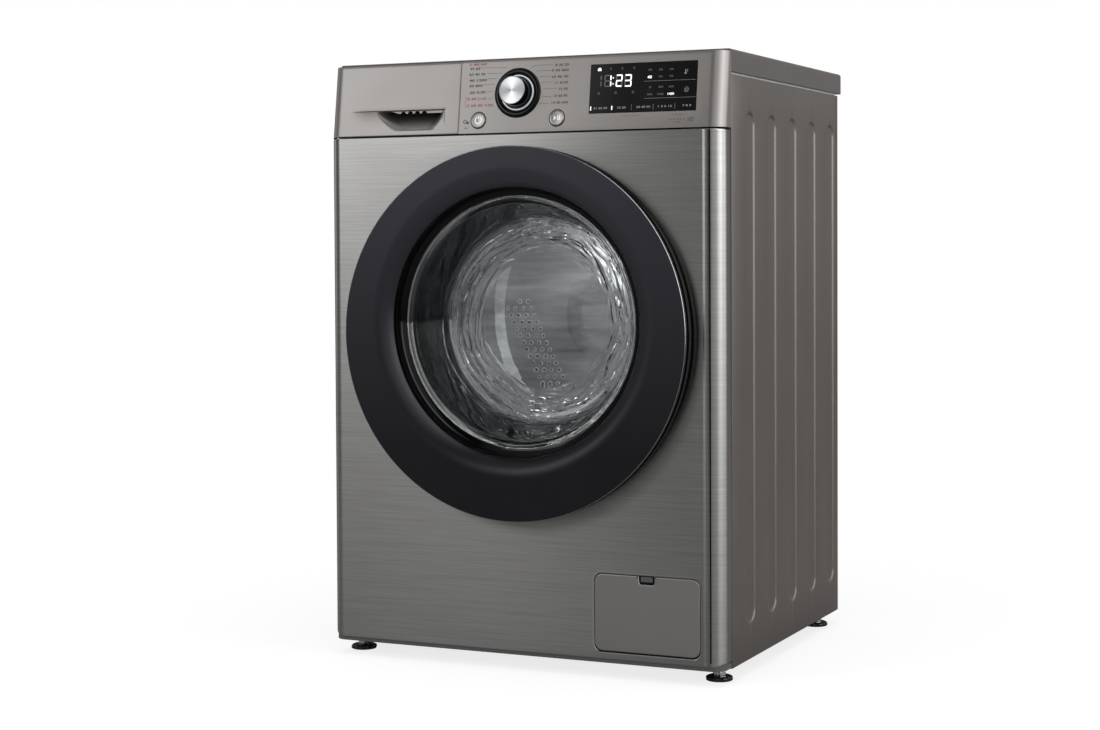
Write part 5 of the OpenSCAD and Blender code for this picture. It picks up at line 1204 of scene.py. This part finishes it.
def display_print():
    lit, dim, pale = Print(0.05), Print(0.05), Print(0.05)
    for x0, x1, up, up_top, lit_keys, dim_keys in (
            (116.4, 124, 0.8, 0.4, "", "bc"), (127.9, 138.4, 0.5, 0.3, "bc", "adefg"),
            (144.8, 154.6, 0.1, 0.1, "abged", "fc"), (157.4, 167.9, -0.1, -0.1, "abgcd", "fe")):
        seven(lit, x0, x1, FIGURES_LOW + up, FIGURES_HIGH + up_top, lit_keys)
        seven(dim, x0, x1, FIGURES_LOW + up, FIGURES_HIGH + up_top, dim_keys)
    for z in (806.2, 814.4):
        lit.arc(140.9, z, 0, 0.95, steps=16)
    house(lit, 120.2, 826.6)
    for x in (136.9, 153.6, 170.7):
        dim.digits("0", x - 1.3, x + 1.3, 827, 3.4)
    for x in (120.5, 145.3, 170.5):
        dim.arc(x, 794.1, 0.7, 1.7, steps=20)
    for text, x, z in (("20", 194, 823.5), ("30", 209.5, 823.3), ("60", 225, 823.2), ("90", 209.5, 813.8),
                       ("95", 225, 813.9), ("0", 195, 799.8), ("400", 210.5, 799.9), ("600", 225.5, 799.9),
                       ("800", 195, 790.3), ("1000", 210.5, 790.2)):
        half = 1.7 * len(text) ** 0.7
        dim.digits(text, x - half, x + half, z, 2.9)
    lit.digits("40", 190.6, 197, 813.7, 3.9)
    lit.digits("1400", 220.9, 230, 790.1, 3.3)
    pale.bar(185.5, 259.8, 808.0, 808.35)
    pale.bar(186.8, 260.9, 784.7, 785.05)
    thermometer(pale, 245.2, 819.3)
    swirl(pale, 247.1, 795.4)
    for x in (169.4, 200.9, 232):
        pale.bar(x - 0.18, x + 0.18, 769.6, 777.6)
    for x in (109.6, 140.7):
        lit.bar(x - 0.75, x + 0.75, 770.9, 776.4)
    for text, x in (("01 02 03", 123.8), ("10 20", 155), ("30 40 50", 186.6), ("1 3 6 12", 217.9),
                    ("7 8 9", 248.9)):
        pale.digits(text, x - 1.25 * len(text), x + 1.25 * len(text), 773.7, 2.8)
    lit.finish("display_lit", "display_window", LIT)
    dim.finish("display_dim", "display_window", DIM)
    pale.finish("display_print", "display_window", WHITE_PRINT)


fascia_print()
display_print()


# ---------- Drawer front: a moulded skin with its scoop pressed in ----------

DRAWER_EDGE = span("drawer_front")[1][0]
CORNER_R = 20
EDGE_ROUND = 0.9     # rounding of the drawer front's right edge
TOP_R = 4
SKIN_T = 2.5
DRAWER_D = 20
SCOOP_TOP = face_up(FASCIA_Z + 35.7)
SCOOP_LOW = face_up(FASCIA_Z + 6.7)
SCOOP_LEFT = -266.0
SCOOP_RIGHT = -113.0
SCOOP_DEPTH = 14.5
SCOOP_SIDE = 17      # how wide the scoop's right hand wall is


def scoop_depth(x, up):
    """Depth of the scoop's floor below the face at x and a distance up the face."""
    if x <= SCOOP_LEFT or x >= SCOOP_RIGHT - 0.5 or not SCOOP_LOW < up < SCOOP_TOP:
        return 0.0
    rise = (up - SCOOP_LOW) / (SCOOP_TOP - SCOOP_LOW)
    crease = -231 + 34 * (1 - rise) ** 1.3
    fall = 0.14 * ease(rise / 0.05) + 0.86 * ease(rise) ** 0.9
    deep = ease((x - crease) / 30) * SCOOP_DEPTH * fall
    shallow = 2.6 * rise ** 2 * ease((x - SCOOP_LEFT) / 36)
    inner = SCOOP_RIGHT - 0.6 - 15 * (1 - rise) ** 1.6
    side = 1 - 0.93 * ease((x - inner + SCOOP_SIDE) / SCOOP_SIDE)
    return max(shallow, deep * side)


def drawer_columns():
    """(x, depth) of the drawer front's plan outline, from its rear left edge to its right edge."""
    made = [(-HALF_W + SKIN_T, DRAWER_D), (-HALF_W + 0.3, DRAWER_D), (-HALF_W, DRAWER_D - 0.4)]
    for step in range(1, 13):
        a = radians(7.5 * step)
        made.append((-HALF_W + CORNER_R - CORNER_R * cos(a), CORNER_R - CORNER_R * sin(a)))
    x = -HALF_W + CORNER_R
    while x < DRAWER_EDGE - 1.4:
        x += 1.0
        made.append((x, 0.0))
    for step in range(1, 5):
        a = radians(22.5 * step)
        made.append((DRAWER_EDGE - EDGE_ROUND + EDGE_ROUND * sin(a), EDGE_ROUND - EDGE_ROUND * cos(a)))
    return made + [(DRAWER_EDGE, 10), (DRAWER_EDGE, DRAWER_D), (DRAWER_EDGE - SKIN_T, DRAWER_D)]


# The overhanging lip: (distance below the scoop's top, the same once drawn in, share of the floor's depth)
LIP = [(0.9, 0.9, 1.0), (0.45, 0.35, 0.93), (0.12, 0.1, 0.6), (0.06, 0.05, 0.12), (0.0, 0.0, 0.03)]


def drawer_levels():
    """(up, back, lip) of the drawer front's levels; lip is the level's row of LIP, or None."""
    levels = [(0.0, 6.0), (0.0, 1.2), (0.12, 0.4), (0.5, 0.08), (1.0, 0.0)]
    up = 2.0
    while up < SCOOP_TOP - 1.2:
        levels.append((up, 0.0))
        up += 0.9
    first = len(levels)
    levels += [(SCOOP_TOP - below, 0.0) for below, _, _ in LIP]
    levels += [(SCOOP_TOP + above, 0.0) for above in (0.5, 1.1, 2.2)]
    top_up = face_up(FASCIA_TOP)
    up = SCOOP_TOP + 5
    while up < top_up - TOP_R - 1:
        levels.append((up, 0.0))
        up += 6.0
    for step in range(9):
        a = radians(81 * step / 8)
        levels.append((top_up - TOP_R + TOP_R * sin(a), TOP_R - TOP_R * cos(a)))
    levels += [(top_up, 6.0), (top_up, DRAWER_D)]
    return [(up, back, LIP[i - first] if 0 <= i - first < len(LIP) else None)
            for i, (up, back) in enumerate(levels)]


def drawer_point(x, plan, up, back, lip):
    """A point of the drawer front in one of its columns and at one of its levels."""
    inset = max(0.0, back - plan) if plan < CORNER_R else 0.0
    depth = plan + (back if plan < 0.5 else inset)
    height = up
    if lip:
        floor = scoop_depth(x, SCOOP_TOP - 0.8)
        depth += floor * lip[2]
        if floor > 2:
            height = SCOOP_TOP - lip[1]
    elif plan < 0.01:
        depth += scoop_depth(x, up)
        if 0 < up - SCOOP_TOP < 2 and SCOOP_LEFT < x < SCOOP_RIGHT:
            depth -= 0.3 * ease((x - SCOOP_LEFT) / 20) * (1 - abs(up - SCOOP_TOP - 0.8) / 1.2)
    return on_face(x, height - (0.28 if up >= face_up(FASCIA_TOP) else 0), -depth)


TOOTH_R = 4.0
TOOTH_DROP = 3.4
FIRST_TOOTH = -182.1
TOOTH_PITCH = 11.3


def lip_teeth():
    """A light strip behind the scoop's lip, with four round notches in its lower edge."""
    path = []
    for k in range(199):
        x = -217 + 0.5 * k
        drop = 4.0 * ease((x + 207) / 22)
        for tooth in range(4):
            off = abs(x - FIRST_TOOTH - TOOTH_PITCH * tooth)
            if off < TOOTH_R:
                drop -= TOOTH_DROP * sqrt(1 - (off / TOOTH_R) ** 2)
        path.append((x, max(0.3, drop)))
    rows = []
    for below, out in ((False, -4.4), (True, -4.4), (True, -5.4), (False, -5.4)):
        rows.append([on_face(x, SCOOP_TOP - drop if below else SCOOP_TOP + 0.4, out) for x, drop in path])
    # Its paint darkens with depth behind the face: painted shade.
    skin("lip_teeth", rows, "drawer_front", close_along=True, crease=30, paint=DRAWER_SHADED_PAINT)


SCOOP_NORMAL = (0, cos(LEAN), -sin(LEAN))
SCOOP_FACE = Vector(on_face(0, 0)).dot(Vector(SCOOP_NORMAL)) * MM
# The drawer's paint grows darker with depth behind its face: painted shade in the scoop and under its lip
DRAWER_SHADED_PAINT = metallic_paint("drawer_silver", FASCIA_COLOR, 0.36, 0.7,
                              shade=(SCOOP_FACE + 1.5 * MM, SCOOP_NORMAL, 12 * MM))
skin("drawer_front_skin", [[drawer_point(x, plan, *level) for x, plan in drawer_columns()]
                           for level in drawer_levels()],
     "drawer_front", crease=34, paint=DRAWER_SHADED_PAINT)
lip_teeth()


# ---------- Studio ----------

FLOOR_HALF = 14.0
FLOOR_DROP = 0.4 * MM


def add_floor():
    """Pale matt floor: plain white to the camera, with the object's shadow left on it."""
    mesh = bpy.data.meshes.new("floor")
    corners = [(-1, -1), (1, -1), (1, 1), (-1, 1)]
    mesh.from_pydata([(x * FLOOR_HALF, y * FLOOR_HALF, 0) for x, y in corners], [], [(0, 1, 2, 3)])
    floor = bpy.data.objects.new("floor", mesh)
    floor.location.z = -FLOOR_DROP
    scene.collection.objects.link(floor)
    material = bpy.data.materials.new("floor_white")
    graph = Graph(material)
    graph.nodes.remove(graph.nodes["Principled BSDF"])

    def matt(grey):
        return graph.node("BsdfDiffuse", Color=(grey, grey, grey, 1))

    far = graph.node("VectorMath", graph.node("TexCoord", out="Object"), out="Value", operation="LENGTH")
    fade = graph.node("MapRange", far, 0.55, 1.25, interpolation_type="SMOOTHSTEP")
    near = graph.node("AddShader", matt(0.30), graph.node("Emission", Strength=0.80))
    seen = graph.node("MixShader", fade, near, graph.node("Emission", Strength=1.0))
    unseen = graph.node("MixShader", graph.node("LightPath", out="Is Glossy Ray"), matt(0.7), matt(0.40))
    shown = graph.node("MixShader", graph.node("LightPath", out="Is Camera Ray"), unseen, seen)
    graph.feed(graph.nodes["Material Output"].inputs["Surface"], shown)
    floor.data.materials.append(material)


def softbox(name, place, target, size, power):
    """A rectangular lamp that looks at target."""
    lamp = bpy.data.lights.new(name, "AREA")
    lamp.shape = "RECTANGLE"
    lamp.size, lamp.size_y = size
    lamp.energy = power
    obj = bpy.data.objects.new(name, lamp)
    obj.location = place
    obj.rotation_euler = (Vector(target) - Vector(place)).to_track_quat("-Z", "Y").to_euler()
    scene.collection.objects.link(obj)
    return obj


# Brightness of the studio's walls as polished metal sees them, by direction: degrees from the
# front (-Y) towards the right (+X)
STUDIO_WALLS = [(-180, 0.30), (-165, 0.10), (-120, 0.06), (-113, 0.9), (-90, 0.9), (-82, 0.25), (-70, 0.15),
                (-62, 0.2), (-52, 0.7), (-42, 0.6), (-33, 0.36), (-26, 0.6), (-20.5, 0.22), (-19, 0.30),
                (-16.5, 0.25), (-14, 0.0), (3, 0.0), (8, 0.9), (52, 1.5), (58, 3.2), (126, 3.2), (138, 0.9),
                (150, 0.46), (180, 0.15)]
WALL_GAIN = 3.5


def light_studio():
    """White to the camera, an even room to matt surfaces, and the studio's walls to polished ones."""
    world = bpy.data.worlds.new("studio")
    scene.world = world
    graph = Graph(world)
    room = graph.nodes["Background"]
    room.inputs["Color"].default_value = (1, 1, 1, 1)
    room.inputs["Strength"].default_value = 0.45
    ahead = graph.node("Math", graph.coordinate("Y", "Generated"), -1.0, operation="MULTIPLY")
    turn = graph.node("Math", graph.coordinate("X", "Generated"), ahead, operation="ARCTAN2")
    walls = graph.node("ValToRGB", graph.ramp(turn, 0.0, 1.0, (-pi, pi)))
    elements = walls.node.color_ramp.elements
    while len(elements) < len(STUDIO_WALLS):
        elements.new(0.5)
    for element, (angle, value) in zip(elements, STUDIO_WALLS):
        element.position = (angle + 180) / 360
        element.color = (*[value / WALL_GAIN] * 3, 1)
    lift = graph.ramp(graph.coordinate("Z", "Generated"), WALL_GAIN, WALL_GAIN * 1.25, (0.30, 0.85))
    polished = graph.node("Background", walls, lift)
    lit = graph.node("MixShader", graph.node("LightPath", out="Is Glossy Ray"), room.outputs["Background"],
                     polished)
    seen = graph.node("MixShader", graph.node("LightPath", out="Is Camera Ray"), lit,
                      graph.node("Background", (1, 1, 1, 1)))
    graph.feed(graph.nodes["World Output"].inputs["Surface"], seen)
    softbox("key", (-1.93, -2.83, 1.75), (0, 0, 0.5), (1.4, 1.2), 19)
    softbox("top", (0.2, -0.4, 3.2), (0, 0, 0.4), (2.4, 2.0), 30).visible_glossy = False
    softbox("side", (3.2, -0.6, 1.6), (0.3, 0, 0.5), (1.2, 1.8), 12)
    drum = softbox("drum", (0.03, -0.06, 0.68), (-0.02, 0.04, 0.45), (0.24, 0.10), 0.62)
    drum.visible_camera = drum.visible_transmission = False


CAMERA_PLACE = Vector((1.2313, -2.8162, 0.5976))
CAMERA_YAW = radians(24.77)
CAMERA_PITCH = radians(1.64)
CAMERA_ROLL = radians(-0.28)
CAMERA_LENS = 67.42
CAMERA_SHIFT = -0.0612


def add_camera():
    camera = bpy.data.cameras.new("camera")
    camera.sensor_width = 36
    camera.lens = CAMERA_LENS
    camera.shift_y = CAMERA_SHIFT
    obj = bpy.data.objects.new("camera", camera)
    turn = Matrix.Rotation(CAMERA_YAW, 4, "Z") @ Matrix.Rotation(pi / 2 - CAMERA_PITCH, 4, "X")
    obj.matrix_world = Matrix.Translation(CAMERA_PLACE) @ turn @ Matrix.Rotation(CAMERA_ROLL, 4, "Z")
    scene.collection.objects.link(obj)
    scene.camera = obj


add_floor()
light_studio()
add_camera()
scene.view_settings.view_transform = "Standard"
